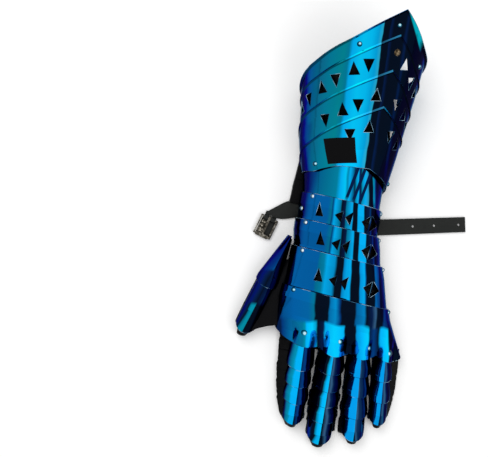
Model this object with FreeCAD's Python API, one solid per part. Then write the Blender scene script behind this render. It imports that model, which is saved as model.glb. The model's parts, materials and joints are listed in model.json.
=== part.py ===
import FreeCAD, Part
import math
import os

V = FreeCAD.Vector

# Left-hand plate gauntlet lying palm down. +Y runs up the arm, +X towards the little finger,
# +Z up from the table. It is drawn from the middle of the wrist and set down at the end with
# the origin on the table below the middle of the palm.

# Driving sizes
wrist_width = 86.0
wrist_height = 66.4
hand_length = 150.0
cuff_length = 204.0
cuff_width = 140.0
cuff_height = 122.0
plate = 1.2
play = 0.9
leather = 1.6
lining_play = 1.1
overrun = 3.0

# Plate overlaps and rivets
rear_lip = 3.0
front_lip = 6.0
rivet_radius = 2.7
rivet_rise = 1.9
shank_radius = 1.2
hole_play = 0.45
knuckle_rivet_radius = 3.4
knuckle_rivet_rise = 1.7
cheek_height = 15.0
plate_hem = 8.0
lame_settle_share = 0.35
highest_lift = 14.0
flute_depth = 1.5

# Bearing sections between neighbouring plates, wrist to knuckles
bearing_along_shares = (0.267, 0.044, -0.147, -0.345, -0.633)
bearing_left_shares = (-0.644, -0.560, -0.555, -0.514, -0.524)
bearing_right_shares = (0.409, 0.437, 0.499, 0.640, 0.846)
bearing_crown_shares = (1.03, 1.0, 0.97, 0.91, 0.82)
crest_shares = (
    (-0.10, 0.10, 0.19),
    (-0.063, 0.060, 0.273),
    (-0.041, 0.076, 0.337),
    (0.029, 0.157, 0.442),
    (0.114, 0.260, 0.605),
)
left_rivet_shares = (-0.70, -0.76, -0.79, -0.80, -0.80)
right_rivet_share = 0.975
side_rivet_share = -0.93
side_rivet_along = -8.0

# Triangular windows in the lames: crest number and place between the plate's edges
window_along_share = 0.60
window_side = 10.0
window_gap = 1.6
window_halves = ((0, -1, 8.0, 12.5), (1, -1, 7.5, 15.0), (2, -1, 9.0, 17.0), (2, 1, 9.0, 17.0))
thumb_window_shares = (-0.56, -0.46, -0.42)
thumb_window_turn_degrees = -6.0
thumb_window_tall = 14.5

# Cuff sections from the wrist to the mouth, as shares of the cuff's own sizes
cuff_station_shares = (0.15, 0.30, 0.50, 0.70, 0.88, 1.04)
cuff_left_shares = (-0.397, -0.475, -0.535, -0.600, -0.655, -0.700)
cuff_right_shares = (0.272, 0.282, 0.290, 0.300, 0.300, 0.300)
cuff_crown_shares = (0.585, 0.625, 0.730, 0.850, 0.955, 1.060)
cuff_girth_shares = (0.16, 0.22, 0.29, 0.34, 0.38, 0.41)
cuff_foot_shares = (1.0, 0.96, 0.87, 0.80, 0.76, 0.74)
cuff_hem_shares = (0.065, 0.040, 0.020, 0.013, 0.013, 0.013)

# Edges and beads of the cuff: each row gives, at the turns below, its distance up the arm
# as a share of the cuff's length; the peak of every chevron is at the same turn
shoulder_turn_share = 0.62
peak_turn_share = 0.17
row_turn_shares = (-1.0, -0.62, -0.35, -0.10, 0.17, 0.40, 0.62, 1.0)
lower_edge_shares = (0.150, 0.148, 0.157, 0.208, 0.232, 0.192, 0.158, 0.145)
bead_three_shares = (0.190, 0.225, 0.305, 0.417, 0.537, 0.450, 0.400, 0.360)
bead_two_shares = (0.320, 0.375, 0.467, 0.579, 0.712, 0.597, 0.540, 0.490)
bead_one_shares = (0.460, 0.520, 0.613, 0.729, 0.877, 0.745, 0.690, 0.630)
mouth_edge_shares = (0.530, 0.590, 0.698, 0.825, 1.000, 0.872, 0.815, 0.740)
bead_width = 3.2
bead_span_shares = (0.33, 0.67)
bead_rise = 1.3
mouth_roll = 2.2
mouth_lip = 2.6
cuff_hole_base = 11.5
cuff_hole_tall = 13.5
hole_up_degrees = -14.0
hole_down_degrees = 166.0
up_hole_shares = (
    (-0.080, 0.670),
    (-0.293, 0.562),
    (-0.545, 0.462),
    (0.258, 0.759),
    (0.460, 0.665),
    (-0.114, 0.473),
    (0.097, 0.577),
    (0.385, 0.535),
    (0.096, 0.423),
    (0.410, 0.385),
)
down_hole_shares = (
    (0.005, 0.716),
    (-0.196, 0.617),
    (-0.427, 0.514),
    (0.352, 0.700),
    (0.575, 0.630),
    (-0.016, 0.523),
    (-0.243, 0.422),
    (0.273, 0.576),
    (0.500, 0.500),
    (-0.037, 0.376),
    (0.292, 0.422),
)
cuff_rivet_shares = ((0.149, 0.920), (-0.071, 0.792), (0.420, 0.790))
brass_rivet_share = (0.174, 0.802)
brass_rivet_radius = 3.6
tag_width = 32.0
tag_length = 25.0
tag_thickness = 0.8
tag_seat = 0.2
tag_turn_degrees = 14.0
tag_place_shares = (-0.090, 0.284)

# Fingers: knuckle place, turn in degrees, half width and height at the root and at the tip,
# and the visible length of each lame
finger_names = ("index", "middle", "ring", "little")
finger_across = (-8.3, 24.9, 55.0, 81.2)
finger_along = (-152.5, -155.0, -151.0, -147.0)
finger_turn_degrees = (6.2, 5.2, 9.4, 9.0)
finger_root_half = (14.0, 14.4, 12.4, 9.4)
finger_tip_half = (11.2, 13.8, 12.4, 9.8)
finger_root_height = (37.0, 38.0, 36.0, 33.0)
finger_height_step = 2.3
finger_lames = (
    (26.5, 18.8, 18.8, 23.5),
    (20.4, 19.2, 17.0, 18.0, 25.0),
    (20.0, 22.0, 24.0, 26.0),
    (23.0, 23.5, 25.5),
)
finger_pivot_height = 12.0
finger_hem = 2.0
finger_lip = 4.5
finger_keel_share = 0.25
finger_round_share = 0.45
finger_front_run = 1.0
barrel_step = 0.045
outline_margin = 0.3
finger_tip_swell_share = 0.55
finger_tip_swell_drop = 1.5
finger_tip_width_share = 0.92
finger_tip_round_share = 0.95
finger_tip_drop = 7.0
finger_tip_reach = 3.0
stall_gap = 3.2
palm_round_power = 0.7
stall_tip_shares = (0.0, 0.6, 0.85, 1.0)
stall_tip_narrowing = 0.72
stall_tip_drop = 9.5
bulge_end_share = 0.985
bulge_middle_share = 0.45
index_bulge = 16.0
little_bulge = 12.5
bulge_height = 9.0

# Knuckle plate
knuckle_rise = 3.0
knuckle_middle_share = 0.5
knuckle_nose_share = 0.4
knuckle_left = -42.5
knuckle_right = 99.5
knuckle_start = -140.0
knuckle_front = -158.0
knuckle_dome_along = -137.0
valley_height = 27.0
scallop_along = (-140.0, -149.0, -147.5, -143.5, -141.0)
knuckle_rivet_across = (-12.0, 28.5, 61.5, 84.0)

# Thumb
thumb_across = -50.2
thumb_along = -40.0
thumb_turn_degrees = -13.0
thumb_root_half = 3.2
thumb_mid_half = 11.2
thumb_tip_half = 11.5
thumb_root_height = 30.0
thumb_mid_height = 27.0
thumb_lames = (62.0, 56.0)
thumb_bulge = 9.0
thumb_corner_side = 1.0
thumb_corner_back = 3.5
thumb_corner_size = 30.0

# Glove
palm_gap = 4.5
palm_trim = 0.2
short_flap_share = 0.3
bell_start_share = 0.35
wrist_gap = 3.4
palm_corner = 5.0
glove_mouth_share = 0.72

# Straps and buckle
strap_thickness = 2.4
strap_shelf = 0.3
strap_width = 18.0
strap_end_width = 16.8
strap_start_x = 20.0
strap_start_y = -13.8
strap_length = 121.0
strap_turn_degrees = 16.0
strap_hole_radius = 1.3
strap_hole_shares = (0.518, 0.714, 0.939)
tab_length = 12.0
buckle_strap_far_edge = ((-30.0, -1.6), (-50.0, -1.4), (-60.0, -2.2), (-70.0, -9.5), (-79.0, -17.6))
buckle_strap_near_edge = ((-30.0, -17.4), (-49.0, -18.6), (-55.0, -21.0), (-62.0, -23.6), (-66.0, -24.4))
buckle_bar_x = -76.9
buckle_bar_y = -26.7
buckle_turn_degrees = 257.8
buckle_width = 21.0
buckle_length = 23.0
buckle_wire = 1.5
buckle_loop_width = 13.5
buckle_loop_leather = 1.6
bar_play = 0.3
roller_wall = 0.8
prong_width = 2.4
prong_thickness = 1.6
flap_left = -61.0
flap_thickness = 2.0
flap_reach = 4.5
cuff_flap_length = 14.0

nodes = {}


def bspline(points):
    curve = Part.BSplineCurve()
    curve.interpolate(points)
    return curve.toShape()


def mix(a, b, share):
    return a + (b - a) * share


def table_at(xs, ys, x):
    """Straight-line reading of a falling or rising table."""
    rising = list(zip(xs, ys))
    if xs[0] > xs[-1]:
        rising.reverse()
    if x <= rising[0][0]:
        (x0, y0), (x1, y1) = rising[0], rising[1]
        return mix(y0, y1, (x - x0) / (x1 - x0))
    for (x0, y0), (x1, y1) in zip(rising, rising[1:]):
        if x <= x1:
            return mix(y0, y1, (x - x0) / (x1 - x0))
    (x0, y0), (x1, y1) = rising[-2], rising[-1]
    return mix(y0, y1, (x - x0) / (x1 - x0))


bearing_y = [s * hand_length for s in bearing_along_shares]


def skin(y):
    """Base section of the wrist and hand at a place along the arm."""
    left = table_at(bearing_y, bearing_left_shares, y) * wrist_width
    right = table_at(bearing_y, bearing_right_shares, y) * wrist_width
    crown = table_at(bearing_y, bearing_crown_shares, y) * wrist_height
    crests = [table_at(bearing_y, [row[k] for row in crest_shares], y) * wrist_width for k in range(3)]
    return left, right, crown, crests


def arch_runs(left, right, crown, breaks, sag, offset, counts):
    """Runs of points over an elliptical arch, one run between each pair of breaks."""
    middle = (left + right) / 2
    half = (right - left) / 2
    turns = [math.pi]
    for x in breaks:
        turns.append(math.acos(max(-1.0, min(1.0, (x - middle) / half))))
    turns.append(0.0)
    rise = crown - cheek_height
    runs = []
    for k in range(len(turns) - 1):
        depth = sag if 0 < k < len(turns) - 1 and len(breaks) == 3 and k < 3 else 0.0
        run = []
        for n in range(counts[k] + 1):
            share = n / counts[k]
            turn = mix(turns[k], turns[k + 1], share)
            dip = offset - depth * math.sin(math.pi * share)
            x = middle + (half + dip) * math.cos(turn)
            z = cheek_height + (rise + dip) * math.sin(turn)
            run.append((x, z))
        runs.append(run)
    return runs


def sheet_wire(y, outer, inner, hem):
    """Closed wire in a plane across the arm: outer runs, inner runs and the two hems."""
    def at(point):
        return V(point[0], y, point[1])

    edges = []
    first, last = outer[0][0], outer[-1][-1]
    inner_first, inner_last = inner[0][0], inner[-1][-1]
    edges.append(Part.makeLine(V(first[0], y, hem), at(first)))
    for run in outer:
        edges.append(bspline([at(p) for p in run]))
    edges.append(Part.makeLine(at(last), V(last[0], y, hem)))
    edges.append(Part.makeLine(V(last[0], y, hem), V(inner_last[0], y, hem)))
    edges.append(Part.makeLine(V(inner_last[0], y, hem), at(inner_last)))
    for run in reversed(inner):
        edges.append(bspline([at(p) for p in reversed(run)]))
    edges.append(Part.makeLine(at(inner_first), V(inner_first[0], y, hem)))
    edges.append(Part.makeLine(V(inner_first[0], y, hem), V(first[0], y, hem)))
    return Part.Wire(edges)


def loft(wires, ruled=True):
    return Part.makeLoft(wires, True, ruled)


lame_counts = (8, 4, 5, 7)


def skin_wire(y, lift, sag, hem):
    left, right, crown, crests = skin(y)
    outer = arch_runs(left, right, crown, crests, sag, lift, lame_counts)
    inner = arch_runs(left, right, crown, crests, sag, lift - plate, lame_counts)
    return sheet_wire(y, outer, inner, hem)


def rivet(place, normal, radius, rise, length):
    """Domed head on the plate's face with its shank going inwards."""
    ball = (radius * radius + rise * rise) / (2 * rise)
    dome = Part.makeSphere(ball, V(0, 0, rise - ball))
    keep = Part.makeCylinder(radius + rise, rise, V(0, 0, 0))
    head = dome.common(keep)
    shank = Part.makeCylinder(shank_radius, length, V(0, 0, -length))
    body = head.fuse(shank).removeSplitter()
    turn = FreeCAD.Rotation(V(0, 0, 1), normal)
    body.Placement = FreeCAD.Placement(place, turn)
    return body


def shank_hole(place, normal, radius, inwards, outwards):
    return Part.makeCylinder(radius, inwards + outwards, place - normal * inwards, normal)


def arch_point(y, share, lift):
    """Point and outward normal on the base arch, by its share of the half width."""
    left, right, crown, crests = skin(y)
    middle = (left + right) / 2
    half = (right - left) / 2
    rise = crown - cheek_height
    turn = math.acos(share)
    normal = V(math.cos(turn) / half, 0, math.sin(turn) / rise)
    normal.normalize()
    point = V(middle + half * math.cos(turn), y, cheek_height + rise * math.sin(turn))
    return point + normal * lift, normal


def triangle_prism(place, normal, base, tall, turn, depth):
    """Three-cornered cutter across a plate, turned about the plate's normal."""
    up = V(0, 1, 0)
    across = up.cross(normal)
    across.normalize()
    along = normal.cross(across)
    spin = FreeCAD.Rotation(normal, -turn)
    tip = spin.multVec(along * (tall * 2 / 3))
    foot = spin.multVec(along * (-tall / 3))
    side = spin.multVec(across * (base / 2))
    start = [place + corner - normal * depth for corner in (tip, foot + side, foot - side)]
    face = Part.Face(Part.makePolygon(start + [start[0]]))
    return face.extrude(normal * (2 * depth))


def crest_window(y, crest, side, reach, tall):
    """One half of a diamond window beside a crest."""
    left, right, crown, crests = skin(y)
    top = crown + overrun
    near = crests[crest] + side * window_gap / 2
    corners = [V(near, y + tall / 2, top), V(near + side * reach, y, top), V(near, y - tall / 2, top)]
    face = Part.Face(Part.makePolygon(corners + [corners[0]]))
    return face.extrude(V(0, 0, cheek_height * 1.2 - crown))


def thumb_window(y, share):
    left, right, crown, crests = skin(y)
    place, normal = arch_point(y, share, 0)
    depth = plate + play + overrun
    return triangle_prism(place, normal, window_side, thumb_window_tall, thumb_window_turn_degrees, depth)


def wrist_plates():
    """Three wrist lames and the back-of-hand plate, each lapped over the one above the wrist."""
    names = ("wrist_lame_1", "wrist_lame_2", "wrist_lame_3", "metacarpal_plate")
    lift_rear = play + plate
    for k, name in enumerate(names):
        front = bearing_y[k + 1] - front_lip
        if k == 0:
            rear = bearing_y[0] + rear_lip + front_lip * 2
            stations = [
                (rear, -plate, 0.0),
                (bearing_y[0] + front_lip, 0.0, 0.0),
                (mix(bearing_y[0], bearing_y[1], lame_settle_share), 0.0, 0.0),
            ]
        else:
            rear = bearing_y[k] + rear_lip
            stations = [
                (rear, lift_rear, flute_depth),
                (bearing_y[k] - front_lip - overrun, lift_rear, flute_depth),
            ]
        settle = bearing_y[k + 1] + rear_lip * 2
        stations.append((settle, 0.0, flute_depth))
        stations.append((front, 0.0, flute_depth))
        wires = [skin_wire(y, lift, sag, plate_hem) for y, lift, sag in stations]
        body = loft(wires)
        cutters = []
        if k > 0:
            visible = bearing_y[k + 1] + rear_lip
            y = mix(rear, visible, window_along_share)
            for half in window_halves:
                cutters.append(crest_window(y, *half))
            cutters.append(thumb_window(y, thumb_window_shares[k - 1]))
        for joint in (k, k + 1):
            for share in (left_rivet_shares[joint], right_rivet_share):
                place, normal = arch_point(bearing_y[joint], share, 0)
                own = joint == k and k > 0
                radius = shank_radius if own else shank_radius + hole_play
                cutters.append(shank_hole(place, normal, radius, 2 * plate, play + 2 * plate))
        if name == "wrist_lame_2":
            place, normal = arch_point(side_rivet_along, side_rivet_share, 0)
            cutters.append(shank_hole(place, normal, shank_radius, plate, play + 2 * plate))
        nodes[name] = body.cut(cutters)


def seated(rivets, seat):
    """Rivets cut to sit on the curved face of their plate."""
    heads = []
    for one in rivets:
        pieces = one.cut(seat).Solids
        heads.append(max(pieces, key=lambda piece: piece.Volume))
    return Part.makeCompound(heads)


def pivot_rivets():
    """Pivot rivets through each pair of lapped plates, seated on the upper one."""
    owners = ("cuff", "wrist_lame_2", "wrist_lame_3", "metacarpal", "knuckle")
    groups = {}
    for k, owner in enumerate(owners):
        for share in (left_rivet_shares[k], right_rivet_share):
            lift = cuff_lift(share) if k == 0 else play + plate
            place, normal = arch_point(bearing_y[k], share, lift)
            length = lift + plate
            groups.setdefault(owner, []).append(rivet(place, normal, rivet_radius, rivet_rise, length))
    place, normal = arch_point(side_rivet_along, side_rivet_share, play + plate)
    groups["wrist_lame_2"].append(rivet(place, normal, rivet_radius, rivet_rise, plate))
    return groups


def cuff_section(y):
    """Section of the cuff across the arm, read from the share tables."""
    along = y / cuff_length
    left = table_at(cuff_station_shares, cuff_left_shares, along) * cuff_width
    right = table_at(cuff_station_shares, cuff_right_shares, along) * cuff_width
    crown = table_at(cuff_station_shares, cuff_crown_shares, along) * cuff_height
    girth = table_at(cuff_station_shares, cuff_girth_shares, along) * cuff_height
    foot = table_at(cuff_station_shares, cuff_foot_shares, along)
    hem = table_at(cuff_station_shares, cuff_hem_shares, along) * cuff_height
    return left, right, crown, girth, foot, max(hem, 0.0)


def cuff_point(turn, y, lift):
    """Point of the cuff: turn runs from -1 at the left foot over 0 at the crown to 1."""
    left, right, crown, girth, foot, hem = cuff_section(y)
    middle = (left + right) / 2
    half = (right - left) / 2
    side = 1 if turn > 0 else -1
    share = abs(turn)
    if share <= shoulder_turn_share:
        angle = share / shoulder_turn_share * math.pi / 2
        x = middle + side * (half + lift) * math.sin(angle)
        z = girth + (crown + lift - girth) * math.cos(angle)
    else:
        down = (share - shoulder_turn_share) / (1 - shoulder_turn_share)
        x = middle + side * ((half + lift) - half * (1 - foot) * down * down)
        z = mix(girth, hem, down)
    return V(x, y, z)


def cuff_normal(turn, y):
    step = 0.01
    around = cuff_point(turn + step, y, 0) - cuff_point(turn - step, y, 0)
    along = cuff_point(turn, y + 1, 0) - cuff_point(turn, y - 1, 0)
    normal = along.cross(around)
    normal.normalize()
    return normal * -1 if normal.dot(cuff_point(turn, y, 1) - cuff_point(turn, y, 0)) < 0 else normal


def row_along(shares, turn):
    """Distance up the arm of an edge or bead at a turn around the cuff."""
    return table_at(row_turn_shares, shares, turn)


def cuff_lift(share):
    """Height of the cuff's outer face over the base arch at the first pivot."""
    y = bearing_y[0]
    left, right, crown, girth, foot, hem = cuff_section(y)
    low, high = 0.0, highest_lift
    for n in range(24):
        lift = (low + high) / 2
        place, normal = arch_point(y, share, lift)
        across = (2 * place.x - left - right) / (right - left)
        up = (place.z - girth) / (crown - girth)
        low, high = (lift, high) if math.hypot(across, up) < 1 else (low, lift)
    return low


def cuff_row(shares, shift, lift):
    """Left and right arms of one row of the cuff, as lists of points."""
    arms = []
    for start, end, count in ((-1.0, peak_turn_share, 16), (peak_turn_share, 1.0, 12)):
        arm = []
        for n in range(count + 1):
            turn = mix(start, end, n / count)
            y = row_along(shares, turn) * cuff_length + shift
            point = cuff_point(turn, y, 0)
            arm.append(point + cuff_normal(turn, y) * lift)
        arms.append(arm)
    arms[1][0] = arms[0][-1]
    return arms


def mix_shares(a, b, share):
    return tuple(mix(p, q, share) for p, q in zip(a, b))


def cuff_rows():
    """Rows from the lower edge to the mouth: shares, shift up the arm and lift of the face."""
    rows = [(lower_edge_shares, 0.0, 0.0)]
    spans = (lower_edge_shares, bead_three_shares, bead_two_shares, bead_one_shares, mouth_edge_shares)
    for below, bead in zip(spans, spans[1:]):
        for share in bead_span_shares:
            rows.append((mix_shares(below, bead, share), 0.0, 0.0))
        if bead is not mouth_edge_shares:
            rows.append((bead, -bead_width / 2, 0.0))
            rows.append((bead, 0.0, bead_rise))
            rows.append((bead, bead_width / 2, 0.0))
    rows.append((mouth_edge_shares, -mouth_lip, 0.0))
    rows.append((mouth_edge_shares, 0.0, mouth_roll))
    return rows


def sheet_solid(outer, inner):
    """Solid sheet between two sets of rows; a row is one or more arms of points."""
    faces = []
    outer_edges = [[bspline(arm) for arm in row] for row in outer]
    inner_edges = [[bspline(arm) for arm in row] for row in inner]
    arms = len(outer[0])
    for edges in (outer_edges, inner_edges):
        for low, high in zip(edges, edges[1:]):
            for arm in range(arms):
                faces.append(Part.makeRuledSurface(low[arm], high[arm], 1))
    for end in (0, -1):
        for arm in range(arms):
            faces.append(Part.makeRuledSurface(outer_edges[end][arm], inner_edges[end][arm], 1))
    for arm, tip in ((0, 0), (arms - 1, -1)):
        for k in range(len(outer) - 1):
            low = Part.makeLine(outer[k][arm][tip], inner[k][arm][tip])
            high = Part.makeLine(outer[k + 1][arm][tip], inner[k + 1][arm][tip])
            faces.append(Part.makeRuledSurface(low, high, 1))
    shell = Part.Shell(faces)
    shell.sewShape()
    body = Part.Solid(shell)
    if body.Volume < 0:
        body.reverse()
    return body


def cuff_shell():
    """Flared cuff plate as a sewn solid of strips between the rows."""
    outer = []
    inner = []
    for shares, shift, lift in cuff_rows():
        outer.append(cuff_row(shares, shift, lift))
        inner.append(cuff_row(shares, shift, lift - plate))
    return sheet_solid(outer, inner)


def cuff_tag():
    """Thin plain tag that follows the cuff's face."""
    turn, along = tag_place_shares
    y = along * cuff_length
    left, right, crown, girth, foot, hem = cuff_section(y)
    reach = (right - left + 2 * (crown - girth)) / 4 * math.pi / 2 / shoulder_turn_share
    spin = math.radians(tag_turn_degrees)
    faces = []
    for lift in (tag_seat + tag_thickness, tag_seat):
        rows = []
        for v in (-0.5, 0.0, 0.5):
            arm = []
            for n in range(9):
                dx = (n / 8 - 0.5) * tag_width
                dy = v * tag_length
                across = dx * math.cos(spin) - dy * math.sin(spin)
                up = dx * math.sin(spin) + dy * math.cos(spin)
                at = (turn + across / reach, y + up)
                arm.append(cuff_point(at[0], at[1], 0) + cuff_normal(at[0], at[1]) * lift)
            rows.append([arm])
        faces.append(rows)
    return sheet_solid(faces[0], faces[1])


def cuff():
    """Cuff plate with its windows, rivets, brass rivet and plain tag."""
    body = cuff_shell()
    cutters = []
    depth = plate + overrun
    for holes, spin in ((up_hole_shares, hole_up_degrees), (down_hole_shares, hole_down_degrees)):
        for turn, along in holes:
            y = along * cuff_length
            at = (cuff_point(turn, y, 0), cuff_normal(turn, y))
            cutters.append(triangle_prism(*at, cuff_hole_base, cuff_hole_tall, spin, depth))
    rivets = []
    for turn, along in cuff_rivet_shares:
        y = along * cuff_length
        normal = cuff_normal(turn, y)
        place = cuff_point(turn, y, 0)
        rivets.append(rivet(place, normal, rivet_radius, rivet_rise, plate))
        cutters.append(shank_hole(place, normal, shank_radius, 2 * plate, plate))
    turn, along = brass_rivet_share
    normal = cuff_normal(turn, along * cuff_length)
    place = cuff_point(turn, along * cuff_length, 0)
    nodes["brass_rivet"] = rivet(place, normal, brass_rivet_radius, rivet_rise, plate)
    cutters.append(shank_hole(place, normal, shank_radius, 2 * plate, plate))
    for share in (left_rivet_shares[0], right_rivet_share):
        place, normal = arch_point(bearing_y[0], share, cuff_lift(share))
        cutters.append(shank_hole(place, normal, shank_radius, 2 * plate, plate))
    nodes["cuff_plate"] = body.cut(cutters)
    nodes["blank_tag"] = cuff_tag()
    return rivets


def place_finger(shape, across, along, turn):
    """Set a piece made along -Y at the origin onto its finger."""
    spin = FreeCAD.Rotation(V(0, 0, 1), turn)
    shape.Placement = FreeCAD.Placement(V(across, along, 0), spin)
    return shape


def keel_height(share, rise):
    """Rise of a lame's arch at a share of its half width, with a slight keel."""
    share = min(1.0, abs(share))
    arch = (1 - finger_keel_share) * math.sqrt(1 - share * share)
    return rise * (arch + finger_keel_share * (1 - share))


def keel_runs(half, crown):
    base = finger_pivot_height
    runs = []
    for start in (0, 1):
        run = []
        for n in range(9):
            turn = (start + n / 8) * math.pi / 2
            x = -half * math.cos(turn)
            run.append((x, base + keel_height(x / half, crown - base)))
        runs.append(run)
    return runs


def lame_wire(reach, half, crown):
    hem = finger_pivot_height - finger_hem
    return sheet_wire(-reach, keel_runs(half, crown), keel_runs(half - plate, crown - plate), hem)


def rounded_outline(start, end, half, round_share):
    """Prism that rounds a lame's far edge."""
    depth = half * round_share
    tip = []
    for n in range(13):
        turn = math.pi * n / 12
        tip.append(V(-half * math.cos(turn), -(end - depth) - depth * math.sin(turn), 0))
    rear = [V(half, -start, 0), V(-half, -start, 0)]
    edges = [bspline(tip)]
    edges.append(Part.makeLine(tip[-1], rear[0]))
    edges.append(Part.makeLine(rear[0], rear[1]))
    edges.append(Part.makeLine(rear[1], tip[0]))
    return Part.Face(Part.Wire(edges)).extrude(V(0, 0, wrist_height))


def finger_sizes(lames, root_half, tip_half, root_height, step):
    """Visible edges, pivots, half widths and heights along a finger."""
    edges = [0.0]
    for length in lames:
        edges.append(edges[-1] + length)
    pivots = [edge - finger_lip for edge in edges]
    halves = [mix(root_half, tip_half, edge / edges[-1]) for edge in edges]
    heights = [root_height - step * k for k in range(len(edges))]
    return edges, pivots, halves, heights


def finger_lame(k, sizes, first_rear):
    """One lame: its rear is a barrel about its pivot, its front laps the next lame."""
    edges, pivots, halves, heights = sizes
    radius = heights[k] - finger_pivot_height
    rear_crown = finger_pivot_height + math.sqrt(radius * radius - finger_lip * finger_lip)
    stations = []
    if first_rear:
        stations.append((pivots[k] - finger_lip, halves[k], rear_crown))
        stations.append((pivots[k], halves[k], heights[k]))
    else:
        stations.append((edges[k], halves[k], heights[k]))
    crown = rear_crown if first_rear else heights[k]
    stations.append((pivots[k] + finger_lip + barrel_step, halves[k], crown))
    last = k == len(edges) - 2
    if last:
        end = edges[k + 1]
        swell = mix(stations[-1][0], end, finger_tip_swell_share)
        middle_half = (halves[k] + halves[k + 1]) / 2
        stations.append((swell, middle_half, heights[k] - finger_tip_swell_drop))
        stations.append((end, halves[k + 1] * finger_tip_width_share, heights[k] - finger_tip_drop))
        round_share = finger_tip_round_share
    else:
        lift = play + plate
        front = (halves[k + 1] + lift, heights[k + 1] + lift)
        stations.append((pivots[k + 1] - finger_lip - finger_front_run, front[0], front[1]))
        stations.append((edges[k + 1], front[0], front[1]))
        round_share = finger_round_share
    body = loft([lame_wire(*station) for station in stations])
    widest = max(station[1] for station in stations)
    widest += outline_margin
    outline = rounded_outline(stations[0][0] - overrun, edges[k + 1], widest, round_share)
    return body.common(outline)


def ring_wire(reach, half, low, middle, top):
    """Closed glove section: rounded top, flatter underside."""
    arcs = []
    for quarter in range(4):
        run = []
        for n in range(7):
            turn = (quarter + n / 6) * math.pi / 2
            across = -math.cos(turn)
            up = math.sin(turn)
            if up >= 0:
                z = middle + keel_height(across, top - middle)
            else:
                z = middle - (middle - low) * abs(up) ** palm_round_power
            run.append(V(half * across, -reach, z))
        arcs.append(bspline(run))
    return Part.Wire(arcs)


def stall(k, sizes, bulge, side, reach_from=None):
    """One length of a glove finger inside its lame, open at both ends but for the tip."""
    edges, pivots, halves, heights = sizes
    last = k == len(edges) - 2
    inset = plate + lining_play
    start = (pivots[k] + stall_gap) if reach_from is None else reach_from
    end = edges[k + 1] + finger_tip_reach if last else pivots[k + 1] - stall_gap
    middle = finger_pivot_height - finger_hem
    stations = []
    for share in (stall_tip_shares if last else (0.0, 1.0)):
        half = mix(halves[k], halves[k + 1], share) - inset
        top = mix(heights[k], heights[k + 1], share) - inset
        if last:
            half = half * math.sqrt(1 - stall_tip_narrowing * share ** 4)
            top = heights[k] - inset - stall_tip_drop * share * share
        stations.append((mix(start, end, share), half, top))
    outer = loft([ring_wire(r, half, 0.0, middle, top) for r, half, top in stations])
    inner_stations = []
    for r, half, top in stations:
        inner_stations.append([r, half - leather, leather, middle, top - leather])
    inner_stations[0][0] -= overrun
    inner_stations[-1][0] += -leather if last else overrun
    inner = loft([ring_wire(*station) for station in inner_stations])
    body = outer
    if bulge:
        total = edges[-1]
        wires = []
        for r, half, top in stations:
            share = min(bulge_end_share, max(0.0, r / total))
            width = bulge * math.sqrt(1 - share * share)
            radius = (width + leather * 3) / 2
            middle_x = side * (half + width - radius)
            ring = ring_wire(r, radius, 0.0, bulge_height * bulge_middle_share, bulge_height)
            ring.translate(V(middle_x, 0, 0))
            wires.append(ring)
        body = outer.fuse(loft(wires))
    return body.cut(inner)


def fingers():
    bulges = ((index_bulge, -1), (0.0, 1), (0.0, 1), (little_bulge, 1))
    for n, name in enumerate(finger_names):
        sizes = finger_sizes(
            finger_lames[n],
            finger_root_half[n],
            finger_tip_half[n],
            finger_root_height[n],
            finger_height_step,
        )
        where = (finger_across[n], finger_along[n], finger_turn_degrees[n])
        for k in range(len(finger_lames[n])):
            nodes[f"{name}_lame_{k + 1}"] = place_finger(finger_lame(k, sizes, True), *where)
            nodes[f"{name}_stall_{k + 1}"] = place_finger(stall(k, sizes, *bulges[n]), *where)


def thumb():
    """Two lames and two stalls; a rear corner is cut away to clear the last wrist lame."""
    fall = thumb_root_height - thumb_mid_height
    edges, pivots, halves, heights = finger_sizes(
        thumb_lames, thumb_root_half, thumb_tip_half, thumb_root_height, fall
    )
    halves[1] = thumb_mid_half
    sizes = (edges, pivots, halves, heights)
    where = (thumb_across, thumb_along, thumb_turn_degrees)
    for k, name in enumerate(("base", "tip")):
        nodes[f"thumb_{name}_lame"] = place_finger(finger_lame(k, sizes, k > 0), *where)
        start = edges[0] + leather if k == 0 else None
        nodes[f"thumb_{name}_stall"] = place_finger(stall(k, sizes, k * thumb_bulge, 1, start), *where)
    corner = V(thumb_across + thumb_corner_side, thumb_along - thumb_corner_back, 0)
    clear = Part.makeBox(thumb_corner_size, thumb_corner_size, thumb_root_height, corner)
    nodes["thumb_base_lame"] = nodes["thumb_base_lame"].cut(clear)


def knuckle_centres(y):
    centres = []
    for n in range(4):
        lean = math.tan(math.radians(finger_turn_degrees[n]))
        centres.append(finger_across[n] + (finger_along[n] - y) * lean)
    return centres


def knuckle_valleys(y):
    centres = knuckle_centres(y)
    valleys = []
    for n in range(3):
        share = finger_root_half[n] / (finger_root_half[n] + finger_root_half[n + 1])
        valleys.append(mix(centres[n], centres[n + 1], share))
    return valleys


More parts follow.
